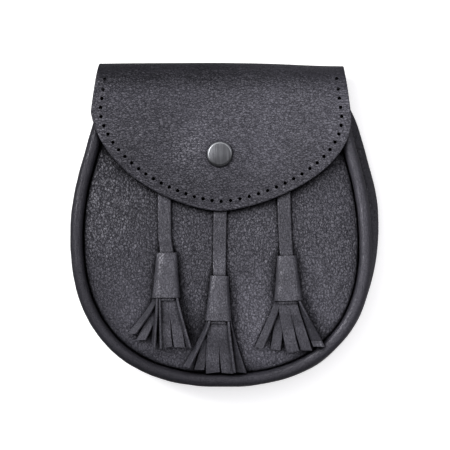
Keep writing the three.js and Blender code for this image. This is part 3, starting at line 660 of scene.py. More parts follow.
def roll_tree():
    """Round roll along a line, with a slow pucker of its surface."""
    tree, given = shape_tree("rolled_rim", {
        "Radius": "NodeSocketFloat", "Pucker Size": "NodeSocketFloat",
        "Pucker Depth": "NodeSocketFloat", "Leather": "NodeSocketMaterial"})
    noise_middle = 0.6
    line = add(tree, "GeometryNodeMeshToCurve", {"Mesh": given["Geometry"]})
    section = add(tree, "GeometryNodeCurvePrimitiveCircle", {"Resolution": 24,
                                                             "Radius": given["Radius"]})
    roll = add(tree, "GeometryNodeCurveToMesh", {
        "Curve": line.outputs[0], "Profile Curve": section.outputs[0], "Fill Caps": True})
    scale = add(tree, "ShaderNodeMath", {0: 1.0, 1: given["Pucker Size"]}, operation="DIVIDE")
    pucker = add(tree, "ShaderNodeTexNoise", {"Scale": scale.outputs[0], "Detail": 1.0})
    centred = add(tree, "ShaderNodeMath", {0: pucker.outputs["Fac"], 1: noise_middle},
                  operation="SUBTRACT")
    deep = add(tree, "ShaderNodeMath", {0: centred.outputs[0], 1: given["Pucker Depth"]},
               operation="MULTIPLY")
    facing = add(tree, "GeometryNodeInputNormal")
    offset = add(tree, "ShaderNodeVectorMath", {0: facing.outputs["Normal"]}, operation="SCALE")
    tree.links.new(deep.outputs[0], offset.inputs["Scale"])
    moved = add(tree, "GeometryNodeSetPosition", {"Geometry": roll.outputs[0],
                                                  "Offset": offset.outputs[0]})
    finish_tree(tree, moved.outputs[0], given["Leather"])
    return tree


roll_line = edge_path(roll_inset, roll_top, roll_steps)[0]
roll_points = np.column_stack([roll_line, [seam_height(y) for y in roll_line[:, 1]]])
roll_mesh = grown("rim_leather_roll", path_mesh("rim_line", [roll_points]), roll_tree(), {
    "Radius": roll_radius * millimetre, "Pucker Size": 0.011, "Pucker Depth": 0.0006,
    "Leather": rim_leather})
show("rim_leather_roll", roll_mesh, "rim_leather", "rim_roll")


# Front panel: pebble-grained leather inside the rolled rim. It domes over what the pouch
# carries, and its straight top edge is open under the flap.

front_proud = -0.8
dome_bottom = 7.6
dome_mouth = 4.3
dome_power = 4
front_top = 170
front_inset = roll_inset + roll_radius + gap


def dome_rise(y):
    return mix(dome_bottom, dome_mouth, towards_mouth(y))


def front_height(x, y):
    level = 1 - min(1, edge_share(x, y, front_inset)) ** dome_power
    return seam_height(y) + front_proud + dome_rise(y) * level


def soft_folds(x, y):
    """Slanted folds at the right, and upright ones below the left side of the flap."""
    right_side, right_low, left_side, left_low = 12, 35, -14, 70
    fade, left_rise = 25, 30
    slanted_depth, slanted_width, slanted_length = 0.4, 9, 42
    upright_depth, upright_width, upright_length = 0.3, 6, 34
    right = ease((x - right_side) / fade) * ease((y - right_low) / fade)
    left = ease((left_side - x) / fade) * ease((y - left_low) / left_rise)
    slanted = waver((x - y) / slanted_width, (x + y) / slanted_length, layer=1.3)
    upright = waver(x / upright_width, y / upright_length, layer=5.1)
    return slanted_depth * right * slanted + upright_depth * left * upright


def on_front(x, y):
    slow = ripple(x, y, size=31, depth=0.45)
    level = front_height(x, y) - panel_thickness + slow + soft_folds(x, y)
    return np.array([x, y, level]), np.array([0, 0, 1.0])


front_plan = cut_sheet(panel_edge(front_inset, front_top, steps=240), spacing=2.2)
show("front_leather", laid_sheet("front_leather", front_plan, on_front, panel_thickness,
                                 panel_leather), "panel_leather", "front_panel")


# Flap: one sheet of the same leather over the front, round the fold and down the back, where
# its tail is sewn on. A row of small round holes is punched along its edge.

flap_tip = 103.1
flap_widest = 161
flap_overhang = 1.4
flap_roundness = 1.57
flap_lean = 2.4
flap_lift = 2.3
flap_looseness = 0.2
flap_narrowing, narrowing_power = 29, 1.2
fold_start = 175
fold_overhang = 0.9
fold_reach = 13
fold_sag = 1.8
fold_length = 33
tail_end = 158
tail_inset = 2
tail_half = half_width(fold_start) - tail_inset
snap_height = 135.9
snap_lift = 2.2
snap_spread = 3
cap_radius = 7.5
hole_radius = 1.05
hole_pitch = 5.4
hole_inset = 5.6
holes_over_fold = 6
hole_top = fold_start + holes_over_fold

flap_leather = leather(
    "flap_leather", (0.0185, 0.018, 0.0225), (0.0385, 0.0375, 0.047), pebbles=(2.0, 1.25, 1.5),
    creases=(12, 3.2, 7), crease_share=0.8, roughness=(0.32, 0.44), depth=0.24)
# Painted shade darkens the flap round the fold and towards its tip, and painted light brightens
# its right side.
paint_light_bands(flap_leather, ("Y", 0.0745, 0.088, 1.08, 0.44), ("Y", 0.015, 0.062, 0.73, 1.0),
        ("X", -0.06, 0.05, 0.87, 1.38))


def flap_half(y):
    """Half of the width of the flap on the front, above its curved lower edge."""
    share = min(1, max(0, (y - flap_widest) / flap_narrowing))
    return mix(half_width(flap_widest) + flap_overhang,
               half_width(fold_start) + fold_overhang, share ** narrowing_power)


def flap_shift(y):
    """The hand-cut edge leans to the right between the tip and the widest place."""
    share = min(1, max(0, (y - flap_tip) / (flap_widest - flap_tip)))
    return flap_lean * 4 * share * (1 - share)


def flap_rest(x, y):
    """Inner face of the flap between its tip and the fold."""
    roll_share = abs(x) / (half_width(y) - roll_inset)
    crown = front_proud + dome_rise(y) + flap_lift - roll_radius - gap
    past_cap = math.hypot(x, y - snap_height) / cap_radius - 1
    bump = snap_lift * (1 - ease(past_cap / snap_spread))
    return seam_height(y) + roll_radius + gap + crown * (1 - roll_share ** dome_power) + bump


def fold_reach_at(x):
    """How far the fold reaches past its start. It has sagged towards its right end."""
    return fold_reach - fold_sag * ease(x / flap_half(fold_start))


def flap_place(x, s):
    """Inner face of the flap. s is its height on the front, and runs on over the fold."""
    if s <= fold_start:
        return np.array([x, s, flap_rest(x, s)])
    if s >= fold_start + fold_length:
        y = 2 * fold_start + fold_length - s
        return np.array([x, y, back_height(x, y) - sewn_gap])
    angle = math.pi * (s - fold_start) / fold_length
    front, back = flap_rest(x, fold_start), back_height(x, fold_start) - sewn_gap
    return np.array([x, fold_start + fold_reach_at(x) * math.sin(angle),
                     (front + back) / 2 + (front - back) / 2 * math.cos(angle)])


def on_flap(x, s):
    step = 0.4
    across = flap_place(x + step, s) - flap_place(x - step, s)
    along = flap_place(x, s + step) - flap_place(x, s - step)
    normal = np.cross(across, along)
    normal /= np.linalg.norm(normal)
    loose = 1 - ease((s - fold_start) / fold_length)
    rise = flap_looseness + ripple(x, s * 2, size=26, depth=0.3)
    return flap_place(x, s) + normal * loose * rise, normal


def flap_edge_right():
    """Right half of the flap's edge, from the middle of its tip up to the fold."""
    lower_points, upper_points = 91, 21
    angles = np.linspace(math.pi / 2, 0, lower_points)[:-1]
    lower = [(flap_half(flap_widest) * math.cos(a) ** (2 / flap_roundness),
              flap_widest - (flap_widest - flap_tip) * math.sin(a)) for a in angles]
    heights = np.linspace(flap_widest, fold_start + fold_reach, upper_points)
    upper = [(flap_half(y), y) for y in heights]
    return np.array(lower + upper)


def flap_edge():
    """Closed edge of the flap laid out flat, anticlockwise from the middle of its tip."""
    fold_points, tail_points, end_points = 25, 10, 90
    corner = 1
    right = [(x, y) for x, y in flap_edge_right() if y < fold_start]
    for angle in np.linspace(0, math.pi, fold_points):
        right.append((flap_half(fold_start + fold_reach * math.sin(angle)),
                      fold_start + fold_length * angle / math.pi))
    tail = fold_start - tail_end
    right += [(mix(flap_half(fold_start), tail_half, ease(2 * k / tail_points)),
               fold_start + fold_length + tail * k / tail_points) for k in range(1, tail_points)]
    end = fold_start + fold_length + tail
    across = [(x, end) for x in np.linspace(tail_half - corner, corner - tail_half, end_points)]
    left = [(-x, s) for x, s in right[:0:-1]]
    line = np.array(right + across + left)
    line[:, 0] += [flap_shift(s) for s in line[:, 1]]
    return line


def hole_places():
    """Places at an even pitch from the middle of the tip, the same on both sides."""
    edge = flap_edge_right()
    mirrored = np.vstack([edge[1] * (-1, 1), edge])
    line = edge + side_normals(mirrored)[1:] * hole_inset
    lengths = np.append(0, np.cumsum(np.linalg.norm(np.diff(line, axis=0), axis=1)))
    wanted = np.arange(0, lengths[-1], hole_pitch)
    places = []
    for x, y in zip(*(np.interp(wanted, lengths, line[:, k]) for k in (0, 1))):
        if y <= hole_top:
            for place in (x, -x):
                over = math.asin(max(0, y - fold_start) / fold_reach_at(place)) / math.pi
                places.append((place + flap_shift(y), min(y, fold_start) + over * fold_length))
    return places[1:]


def punch_tree():
    """Punches holes through a sheet at the points of another mesh."""
    tree, given = shape_tree("punched_holes", {
        "Places": "NodeSocketObject", "Hole Radius": "NodeSocketFloat",
        "Reach": "NodeSocketFloat", "Leather": "NodeSocketMaterial"})
    places = add(tree, "GeometryNodeObjectInfo", {"Object": given["Places"]})
    facing = add(tree, "GeometryNodeInputNamedAttribute", {"Name": "facing"},
                 data_type="FLOAT_VECTOR")
    turned = add(tree, "FunctionNodeAlignRotationToVector",
                 {"Vector": facing.outputs["Attribute"]}, axis="Z")
    punch = add(tree, "GeometryNodeMeshCylinder", {
        "Vertices": 14, "Radius": given["Hole Radius"], "Depth": given["Reach"]})
    punches = add(tree, "GeometryNodeInstanceOnPoints", {
        "Points": places.outputs["Geometry"], "Instance": punch.outputs["Mesh"],
        "Rotation": turned.outputs["Rotation"]})
    cut = add(tree, "GeometryNodeMeshBoolean", {"Mesh 1": given["Geometry"],
                                                "Mesh 2": punches.outputs[0]},
              operation="DIFFERENCE", solver="MANIFOLD")
    finish_tree(tree, cut.outputs["Mesh"], given["Leather"])
    return tree


flap_plan = cut_sheet(flap_edge(), spacing=1.7)
flap_sheet = laid_sheet("flap_sheet", flap_plan, on_flap, flap_thickness, flap_leather)
hole_frames = [on_flap(x, s) for x, s in hole_places()]
hole_mesh = path_mesh("hole_places", [[base + normal for base, normal in hole_frames]],
                      [[normal for _, normal in hole_frames]])
hole_points = bpy.data.objects.new("hole_places", hole_mesh)
bpy.context.scene.collection.objects.link(hole_points)
flap_mesh = grown("flap_sheet_punched", flap_sheet, punch_tree(), {
    "Places": hole_points, "Hole Radius": hole_radius * millimetre, "Reach": 0.006,
    "Leather": flap_leather})
flap_mesh.set_sharp_from_angle(angle=sharp_angle)
bpy.data.objects.remove(hole_points)
show("flap_sheet_punched", flap_mesh, "flap_leather", "flap")


# Stitches: rows of black waxed thread through the edge of the back panel, the tail of the flap
# and both ends of each belt loop. They are flattened and sunk a little into the leather.

stitch_length = 2.7
stitch_pitch = 3.6
thread_width, thread_height = 0.6, 0.36
stitch_sunk = 0.1
# How far the rows of stitches keep from the edges of what they sew.
edge_stitch_inset = 3.4
edge_row_gap = 3
loop_stitch_side, loop_stitch_end = 2, 2.5
tail_stitch_inset = 3.5

waxed_thread = bpy.data.materials.new("waxed_thread")
waxed_thread.use_nodes = True
thread_tree = waxed_thread.node_tree
thread_shader = thread_tree.nodes["Principled BSDF"]
thread_spot = add(thread_tree, "ShaderNodeTexCoord").outputs["Object"]
twist = add(thread_tree, "ShaderNodeTexNoise", {"Vector": thread_spot, "Scale": 2400,
                                                "Detail": 2})
thread_tone = add(thread_tree, "ShaderNodeMix", {
    "Factor": twist.outputs["Fac"], "A": (0.006, 0.006, 0.008, 1),
    "B": (0.03, 0.029, 0.035, 1)}, data_type="RGBA")
thread_tree.links.new(thread_tone.outputs["Result"], thread_shader.inputs["Base Color"])
thread_shader.inputs["Roughness"].default_value = 0.5


def stitch_tree():
    """Stitches at an even pitch along lines, each lying on the face that its line is on."""
    tree, given = shape_tree("stitches", {
        "Pitch": "NodeSocketFloat", "Stitch Size": "NodeSocketVector",
        "Thread": "NodeSocketMaterial"})
    line = add(tree, "GeometryNodeMeshToCurve", {"Mesh": given["Geometry"]})
    spaced = add(tree, "GeometryNodeResampleCurve", {"Curve": line.outputs[0],
                                                     "Length": given["Pitch"]}, mode="LENGTH")
    stitch = add(tree, "GeometryNodeMeshUVSphere", {"Segments": 8, "Rings": 5, "Radius": 0.5})
    along = add(tree, "FunctionNodeAlignRotationToVector",
                {"Vector": add(tree, "GeometryNodeInputTangent").outputs[0]}, axis="X")
    facing = add(tree, "GeometryNodeInputNamedAttribute", {"Name": "facing"},
                 data_type="FLOAT_VECTOR")
    flat = add(tree, "FunctionNodeAlignRotationToVector",
               {"Rotation": along.outputs[0], "Vector": facing.outputs["Attribute"]},
               axis="Z", pivot_axis="X")
    sewn = add(tree, "GeometryNodeInstanceOnPoints", {
        "Points": spaced.outputs[0], "Instance": stitch.outputs["Mesh"],
        "Rotation": flat.outputs[0], "Scale": given["Stitch Size"]})
    finish_tree(tree, sewn.outputs[0], given["Thread"])
    return tree


def rear_rows():
    """Rows of places on the rear faces, and the way that each place faces."""
    short_row, long_row = 9, 60
    edge_row = edge_path(back_inset + edge_stitch_inset, tail_end - edge_row_gap, steps=240)[0]
    rows = [[(x, y, back_height(x, y) + stitch_sunk) for x, y in edge_row]]
    loop_reach = loop_width / 2 - loop_stitch_side
    for side in (-1, 1):
        across = side * loop_spacing / 2 + np.linspace(-loop_reach, loop_reach, short_row)
        for y in (loop_bottom + loop_stitch_end, loop_top - loop_stitch_end):
            rows.append([(x, y, loop_level(x, y) + stitch_sunk) for x in across])
    facing = [[(0, 0, -1)] * len(row) for row in rows]
    reach = tail_half - tail_stitch_inset
    low = fold_start + fold_length
    end = low + fold_start - tail_end - tail_stitch_inset
    tail_row = [(-reach, s) for s in np.linspace(low, end, short_row)]
    tail_row += [(x, end) for x in np.linspace(-reach, reach, long_row)[1:-1]]
    tail_row += [(reach, s) for s in np.linspace(end, low, short_row)]
    frames = [on_flap(x, s) for x, s in tail_row]
    outside = flap_thickness - stitch_sunk
    rows.append([base + normal * outside for base, normal in frames])
    facing.append([normal for _, normal in frames])
    return rows, facing


stitch_sizes = [size * millimetre for size in (stitch_length, thread_width, thread_height)]
stitch_mesh = grown("stitches", path_mesh("stitch_rows", *rear_rows()), stitch_tree(), {
    "Pitch": stitch_pitch * millimetre, "Stitch Size": stitch_sizes, "Thread": waxed_thread})
show("stitches", stitch_mesh, "panel_leather")


# Press stud: the cap is on the flap with its spring socket under it, and the stud is riveted
# through the front panel. Both are steel, plated with darkened nickel and finely brushed.

cap_height = 3
cap_crown = 0.24
cap_bevel_share = 0.88
cap_steps = 12
stud_sides = 64
stud_top, stud_top_radius = -1.3, 2.6
axis_radius = 0.02
# The rolled edge of the cap: shares of its radius, and levels above its foot.
cap_edge = ((0.95, 0), (0.99, 0.15), (1, 0.5), (1, 1.0), (0.99, 1.35), (0.965, 1.7),
            (0.925, 2.02))
# The spring socket under the flap: radii, and levels from the flap's inner face.
spring_socket = ((axis_radius, -1.0), (3.6, -1.0), (3.6, -3.0), (5.75, -3.0), (5.75, -0.3),
                 (2.2, -0.3))
# The riveted stud: radii, and levels above its seat on the front panel.
riveted_stud = ((axis_radius, -3.4), (5, -3.4), (5, -2.6), (1.6, -2.6), (1.6, 0), (5, 0),
                (5, 0.8), (2.6, 0.8), (3.3, 1.9), (3.1, 2.3))
brush_lines = (1900, 70, 70)
upper_left = (-0.3, 0.95, 0)

snap_metal = bpy.data.materials.new("snap_metal")
snap_metal.use_nodes = True
metal = snap_metal.node_tree
metal.nodes.clear()
metal_place = add(metal, "ShaderNodeTexCoord").outputs["Object"]
metal_lines = add(metal, "ShaderNodeVectorMath", {0: metal_place, 1: brush_lines},
                  operation="MULTIPLY")
brushing = add(metal, "ShaderNodeTexNoise", {"Vector": metal_lines.outputs[0], "Detail": 3,
                                             "Scale": 1.0})
metal_tone = add(metal, "ShaderNodeMix", {"Factor": brushing.outputs["Fac"],
                                          "A": (0.005, 0.005, 0.006, 1),
                                          "B": (0.13, 0.132, 0.141, 1)}, data_type="RGBA")
metal_gloss = add(metal, "ShaderNodeMapRange", {"Value": brushing.outputs["Fac"],
                                                "To Min": 0.34, "To Max": 0.5})
metal_bump = add(metal, "ShaderNodeBump", {"Height": brushing.outputs["Fac"],
                                           "Distance": 0.00002})
# Painted highlight: the steep rolled edge of the cap is lighter in colour.
steepness = add(metal, "ShaderNodeSeparateXYZ",
                {0: add(metal, "ShaderNodeNewGeometry").outputs["Normal"]}).outputs["Z"]
edge_highlight = add(metal, "ShaderNodeMapRange", {"Value": steepness, "From Min": 0.96,
                                              "From Max": 0.85}, interpolation_type="SMOOTHSTEP")
highlighted_metal = add(metal, "ShaderNodeMix", {"Factor": edge_highlight.outputs["Result"],
                                          "A": metal_tone.outputs["Result"],
                                          "B": (0.42, 0.43, 0.45, 1)}, data_type="RGBA")
# Painted reflection: the metal is lighter where it faces the upper left and darker where it faces
# down and to the right.
turned_up = add(metal, "ShaderNodeVectorMath", {
    0: add(metal, "ShaderNodeNewGeometry").outputs["Normal"], 1: upper_left},
    operation="DOT_PRODUCT")
painted_reflection = add(metal, "ShaderNodeMapRange", {
    "Value": turned_up.outputs["Value"], "From Min": -0.17, "From Max": 0.12,
    "To Min": 0.35, "To Max": 1.25})
reflection_painted_metal = add(metal, "ShaderNodeVectorMath", {
    0: highlighted_metal.outputs["Result"], 1: painted_reflection.outputs["Result"]}, operation="MULTIPLY")
metal_shader = add(metal, "ShaderNodeBsdfPrincipled", {
    "Base Color": reflection_painted_metal.outputs[0], "Metallic": 1.0,
    "Roughness": metal_gloss.outputs["Result"], "Normal": metal_bump.outputs["Normal"]})
metal_end = metal.nodes.new("ShaderNodeOutputMaterial")
metal.links.new(metal_shader.outputs[0], metal_end.inputs["Surface"])

snap_base, snap_normal = flap_place(0, snap_height), on_flap(0, snap_height)[1]
snap_side = np.cross([0, 1, 0], snap_normal)
snap_side /= np.linalg.norm(snap_side)
snap_up = np.cross(snap_normal, snap_side)


def turned_body(name, profile):
    """A body turned about the stud's axis, from radii and levels above the flap's inner face."""
    rings = []
    for radius, level in profile:
        angles = np.linspace(0, 2 * math.pi, stud_sides, endpoint=False)
        rings.append(snap_base + snap_normal * level
                     + radius * (np.cos(angles)[:, None] * snap_side
                                 + np.sin(angles)[:, None] * snap_up))
    return solid_mesh(name, *loft(rings), snap_metal)


cap_level = flap_thickness + gap
cap_bevel = cap_bevel_share * cap_radius
cap_curve = [(cap_bevel * (1 - k / cap_steps), cap_level + cap_height
              * (1 - cap_crown + cap_crown * math.sin(math.pi / 2 * k / cap_steps)))
             for k in range(cap_steps)]
show("stud_cap", turned_body("stud_cap", [
    *spring_socket, (spring_socket[-1][0], cap_level),
    *((share * cap_radius, cap_level + level) for share, level in cap_edge),
    *cap_curve, (axis_radius, cap_level + cap_height)]), "snap_metal", "snap_cap")
stud_foot = -(flap_lift + snap_lift) * snap_normal[2] + gap
show("stud_post", turned_body("stud_post", [
    *((radius, stud_foot + level) for radius, level in riveted_stud),
    (stud_top_radius, stud_top), (axis_radius, stud_top)]), "snap_metal", "snap_stud")


# Tassels: each hangs from a flat leather hanger, which is sewn under the flap. A collar of
# leather is wrapped round the head of its fringe, which is cut into strips.

strap_thickness = 1.6
strap_chamfer = 0.45
hanger_width = 7.8
hanger_ramp = 9
collar_length = 26
collar_wall = 1.2
collar_room = 0.5
collar_heights = (5.6, 8.6)
collar_flare_power = 1.3
dent_depth, dent_width, dent_length = 0.5, 4.5, 9
fringe_length = 30
strip_width = 6
strip_thickness = 1.4
strip_flare = 0.12
strip_chamfer = 0.25
head_start = 0.4
head_past_mouth = 1.6
box_power = 0.76
# Each tassel: the top of its hanger and the mouth of its collar, as shares of half the width
# and of the height, the collar's width at top and mouth, and how far its top sits aside.
tassel_places = (
    ("left", (-0.366, 0.642), (-0.3585, 0.2795), (12.2, 16.4), 1),
    ("centre", (0.006, 0.605), (-0.019, 0.209), (10.8, 15.4), 0.2),
    ("right", (0.414, 0.642), (0.438, 0.2705), (11.4, 16.6), 0.3),
)
# Each strip: start across the mouth, where its tip lies aside and how far it reaches, as
# shares, then its width, its turn on edge at start and tip in degrees, and its layer.
fringe_strips = {
    "left": (
        (-0.2, 0.0, 0.97, 1, 0, 0, 1), (0.53, 0.24, 0.97, 1, 0, 0, 1),
        (0.85, 0.43, 0.97, 0.9, 75, 70, 1), (-0.62, -0.135, 0.98, 0.9, 70, 75, 1),
        (-0.8, -0.25, 0.95, 0.9, 75, 80, 1), (-0.8, -0.68, 0.7, 0.9, 55, 35, 0),
        (-0.5, -0.5, 0.82, 0.9, 20, 20, 0), (0.2, 0.2, 0.9, 0.9, 0, 0, 0)),
    "centre": (
        (-0.45, -0.08, 1.02, 1.2, 0, 0, 1), (0.35, 0.19, 1.02, 1.05, 0, 0, 1),
        (0.85, 0.33, 1, 0.9, 75, 80, 1), (0.8, 0.47, 1, 0.9, 30, 20, 0),
        (-0.85, -0.58, 0.92, 0.9, 70, 60, 1), (-0.6, -0.35, 0.97, 0.9, 25, 15, 0)),
    "right": (
        (-0.45, 0.06, 1, 1.1, 0, 0, 1), (0.3, 0.31, 0.98, 1, 0, 0, 1),
        (0.85, 0.57, 0.91, 1, 75, 10, 1), (-0.85, -0.6, 0.9, 0.9, 50, 25, 0),
        (-0.6, -0.27, 0.95, 0.9, 25, 10, 0)),
}

tassel_leather = leather(
    "tassel_leather", (0.027, 0.0265, 0.032), (0.053, 0.052, 0.0625), pebbles=(1.2, 1.6, 1.4),
    creases=(4, 22, 9), crease_share=0.5, roughness=(0.26, 0.38), depth=0.13, shade_reach=2.5,
    patch=11)
# Painted shade: the hangers are darker towards the flap.
paint_light_bands(tassel_leather, ("Y", -0.022, -0.01, 1.0, 0.77))


def support_height(x, y):
    """What a tassel lies on: the front panel, or the rolled rim where that is higher."""
    level = front_height(x, y)
    away = np.hypot(roll_points[:, 0] - x, roll_points[:, 1] - y)
    near = away < roll_radius
    if near.any():
        tops = roll_points[near, 2] + np.sqrt(roll_radius ** 2 - away[near] ** 2)
        level = max(level, tops.max())
    return level


class TasselLine:
    """The line that a tassel hangs along, from under the flap to its collar's mouth."""

    def __init__(self, top, mouth, widths, slant):
        self.widths, self.slant = widths, slant
        top = np.array([top[0] * half, top[1] * pouch_height])
        self.mouth = np.array([mouth[0] * half, mouth[1] * pouch_height])
        self.length = np.linalg.norm(self.mouth - top)
        self.down = (self.mouth - top) / self.length
        self.across = np.array([-self.down[1], self.down[0]])

    def place(self, past, aside):
        """A point by its distance past the mouth and to the side."""
        return self.mouth + self.down * past + self.across * aside

    def collar_half(self, share):
        return mix(*self.widths, share ** collar_flare_power) / 2

    def collar_level(self, share):
        """Middle level of the collar, so that it clears the panel."""
        reach = self.collar_half(share)
        sides = [self.place((share - 1) * collar_length, a) for a in (-reach, 0, reach)]
        return (max(support_height(*p) for p in sides) + gap
                + mix(*collar_heights, share) / 2)

    def ring(self, share, shrink, sides):
        """Closed soft box section across the collar."""
        reach = self.collar_half(share) - shrink
        rise = mix(*collar_heights, share) / 2 - shrink
        level = self.collar_level(min(share, 1))
        angles = np.linspace(0, 2 * math.pi, sides, endpoint=False)
        aside = np.sign(np.cos(angles)) * np.abs(np.cos(angles)) ** box_power * reach
        above = np.sign(np.sin(angles)) * np.abs(np.sin(angles)) ** box_power * rise
        past = (share - 1) * collar_length
        aside += self.slant * (1 - share)
        return np.array([[*self.place(past, a), level + b] for a, b in zip(aside, above)])


def flat_ring(place_of, width, thickness, chamfer):
    """Closed section of a strap with eased edges. place_of turns flat and thick to a place."""
    shoulder = 1.6
    reach, rise = width / 2, thickness / 2
    even = reach - shoulder * chamfer
    section = [(reach - chamfer, -rise), (reach, chamfer - rise), (reach, rise - chamfer),
               (reach - chamfer, rise), (even, rise), (-even, rise), (chamfer - reach, rise),
               (-reach, rise - chamfer), (-reach, chamfer - rise), (chamfer - reach, -rise),
               (-even, -rise), (even, -rise)]
    return np.array([place_of(flat, thick) for flat, thick in section])


def hanger_mesh(name, line):
    lying_rings, rising_rings = 26, 14
    collar_top = -collar_length
    head = collar_top + head_start * collar_length
    stops = np.append(np.linspace(-line.length, collar_top - hanger_ramp, lying_rings),
                      np.linspace(collar_top - hanger_ramp, head, rising_rings)[1:])
    held = min(hanger_width, 2 * (line.collar_half(0) - collar_wall - collar_room))
    rings = []
    for past in stops:
        share = min(1, max(0, 1 + past / collar_length))
        risen = ease((past - collar_top + hanger_ramp) / hanger_ramp)
        middle = line.slant * risen * (1 - share)

        def place_of(flat, thick):
            x, y = line.place(past, middle + flat)
            lying = support_height(x, y) + gap + strap_thickness / 2
            level = mix(lying, line.collar_level(share), risen)
            return x, y, level + thick

        width = mix(hanger_width, held, risen)
        rings.append(flat_ring(place_of, width, strap_thickness, strap_chamfer))
    return solid_mesh(name, *loft(rings), tassel_leather)


def collar_mesh(name, line):
    sides, rows = 48, 15
    shares = np.linspace(0, 1, rows)
    outer = [line.ring(share, 0, sides) for share in shares]
    inner = [line.ring(share, collar_wall, sides) for share in shares]
    points, faces = loft(outer + inner[::-1], open_ends=True)
    points[:, 2] += [dent_depth * waver(x / dent_width, y / dent_length, layer=2.2)
                     for x, y, _ in points]
    last = (2 * rows - 1) * sides
    for i in range(sides):
        j = (i + 1) % sides
        faces.append((last + i, last + j, j, i))
    return solid_mesh(name, points, faces, tassel_leather)


def strip_rings(line, start, tip, reach, wide, turn, turn_tip, layer, seed):
    """Sections of one strip of a fringe, from the collar's mouth to its tip."""
    strip_points = 17
    spread_power, settling = 1.15, 1.6
    wave_rate, wave_step, wave_aside, wave_turn = 1.7, 3.1, 0.7, 14
    slant_share, slant_step, slant_power, slant_reach = 0.12, 5.3, 6, 3
    mouth_reach = line.collar_half(1) - collar_wall
    rings = []
    for share in np.linspace(0, 1, strip_points):
        wave = waver(share * wave_rate, seed * wave_step, layer=0.4) * share
        past = mix(gap, reach * fringe_length, share)
        aside = mix(start * mouth_reach, tip * fringe_length, share ** spread_power)
        aside += wave * wave_aside
        angle = math.radians(mix(turn, turn_tip, share) + wave * wave_turn)
        half_wide = wide * strip_width / 2 * (1 + strip_flare * share)
        upright = half_wide * abs(math.sin(angle)) + strip_thickness / 2 * math.cos(angle)
        flat_reach = half_wide * math.cos(angle)
        under = [line.place(past, aside + out) for out in (-flat_reach, 0, flat_reach)]
        support = max(support_height(*p) for p in under)
        lying = support + gap + upright + layer * (strip_thickness + gap)
        held = line.collar_level(1) + (layer - 0.5) * strip_thickness
        level = max(lying, mix(held, lying, ease(settling * share)))
        slant = slant_share * waver(seed * slant_step, 1.2, layer=7.7) * share ** slant_power

        def place_of(flat, thick):
            offset = flat * math.cos(angle) - thick * math.sin(angle)
            x, y = line.place(past + slant * flat * slant_reach, aside + offset)
            return x, y, level + flat * math.sin(angle) + thick * math.cos(angle)

        rings.append(flat_ring(place_of, 2 * half_wide, strip_thickness, strip_chamfer))
    return rings


def fringe_mesh(name, line, strips):
    sides, rows = 32, 8
    shrink = collar_wall + gap
    shares = np.linspace(head_start + 2 * gap / collar_length,
                         1 + head_past_mouth / collar_length, rows)
    points, faces = loft([line.ring(share, shrink, sides) for share in shares])
    for seed, strip in enumerate(strips):
        more_points, more_faces = loft(strip_rings(line, *strip, seed))
        faces = faces + [tuple(i + len(points) for i in face) for face in more_faces]
        points = np.vstack([points, more_points])
    return solid_mesh(name, points, faces, tassel_leather)


for word, *sizes in tassel_places:
    line = TasselLine(*sizes)
    show(f"hanger_{word}", hanger_mesh(f"hanger_{word}", line), "tassel_leather",
         f"tassel_strap_{word}")
    show(f"collar_{word}", collar_mesh(f"collar_{word}", line), "tassel_leather",
         f"tassel_sleeve_{word}")
    show(f"fringe_{word}", fringe_mesh(f"fringe_{word}", line, fringe_strips[word]),
         "tassel_leather", f"tassel_fringe_{word}")


# Floor: a plain pale light table, which the pouch lies on. It throws little light back, so
# that the sides of the pouch stay dark against it.

floor_reach = 4
floor_corners = [(x * floor_reach, y * floor_reach, 0)
                 for x, y in ((-1, -1), (1, -1), (1, 1), (-1, 1))]
floor_mesh = bpy.data.meshes.new("floor")
floor_mesh.from_pydata(floor_corners, [], [(0, 1, 2, 3)])
floor = bpy.data.objects.new("floor", floor_mesh)
bpy.context.scene.collection.objects.link(floor)
floor_paint = bpy.data.materials.new("floor_paint")
floor_paint.use_nodes = True
floor_tree = floor_paint.node_tree
floor_shader = floor_tree.nodes["Principled BSDF"]
floor_seen = add(floor_tree, "ShaderNodeLightPath").outputs["Is Camera Ray"]
floor_tone = add(floor_tree, "ShaderNodeMix", {
    "Factor": floor_seen, "A": (0.2, 0.2, 0.2, 1), "B": (0.93, 0.93, 0.93, 1)},
    data_type="RGBA")
floor_tree.links.new(floor_tone.outputs["Result"], floor_shader.inputs["Base Color"])
floor_glow = add(floor_tree, "ShaderNodeMath", {0: floor_seen, 1: 0.4}, operation="MULTIPLY")
floor_tree.links.new(floor_glow.outputs[0], floor_shader.inputs["Emission Strength"])
floor_shader.inputs["Emission Color"].default_value = (1, 1, 1, 1)
floor_shader.inputs["Roughness"].default_value = 0.9
floor_shader.inputs["Specular IOR Level"].default_value = 0.1
floor_mesh.materials.append(floor_paint)


# Studio light: a pale surround that is bright overhead, a soft box from the upper left and a
# broad weak one from the right.

brightest_way = (0.02, 0.15, 0.985)

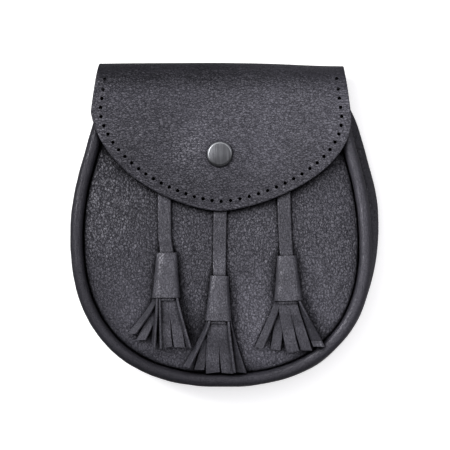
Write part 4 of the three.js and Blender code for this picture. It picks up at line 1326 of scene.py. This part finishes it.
scene = bpy.context.scene
scene.view_settings.view_transform = "Standard"
surround = bpy.data.worlds.new("surround")
surround.use_nodes = True
sky = surround.node_tree
sky_way = add(sky, "ShaderNodeTexCoord").outputs["Generated"]
sky_rise = add(sky, "ShaderNodeVectorMath", {0: sky_way, 1: brightest_way},
               operation="DOT_PRODUCT")
overhead = add(sky, "ShaderNodeMapRange", {"Value": sky_rise.outputs["Value"], "From Min": 0.42,
                                           "From Max": 0.9, "To Min": 0.1, "To Max": 1.4},
               interpolation_type="SMOOTHSTEP")
seen = add(sky, "ShaderNodeLightPath").outputs["Is Camera Ray"]
strength = add(sky, "ShaderNodeMix", {"Factor": seen, "A": overhead.outputs["Result"], "B": 1.0})
background = sky.nodes["Background"]
background.inputs["Color"].default_value = (0.98, 0.97, 1.0, 1)
sky.links.new(strength.outputs["Result"], background.inputs["Strength"])
scene.world = surround


def soft_box(name, place, size, power):
    """A square area light that points at the pouch."""
    light = bpy.data.lights.new(name, "AREA")
    light.size = size
    light.energy = power
    lamp = bpy.data.objects.new(name, light)
    lamp.location = place
    lamp.rotation_euler = (-Vector(place)).to_track_quat("-Z", "Y").to_euler()
    scene.collection.objects.link(lamp)


soft_box("key_light", (-0.95, 0.75, 1.1), size=0.8, power=21)
soft_box("fill_light", (0.8, 0.4, 1.3), size=1.2, power=2.5)


# Camera: above the pouch and a little to its right, and far away, so that its near and far
# parts keep nearly the same scale. Its place and view are in metres, its film in millimetres.

view_distance = 2.4
view_width = 0.26249
view_lean = math.radians(2.5)
view_target = Vector((0.00082, 0.0002, 0.025))
film_width = 36

camera = bpy.data.objects.new("camera", bpy.data.cameras.new("camera"))
camera.data.sensor_width = film_width
camera.data.lens = film_width * view_distance / view_width
backward = Vector((math.sin(view_lean), 0, math.cos(view_lean)))
rightward = Vector((0, 1, 0)).cross(backward)
camera.matrix_world = Matrix((
    (rightward.x, 0, backward.x, 0), (rightward.y, 1, backward.y, 0),
    (rightward.z, 0, backward.z, 0), (0, 0, 0, 1)))
camera.location = view_target + backward * view_distance
scene.collection.objects.link(camera)
scene.camera = camera
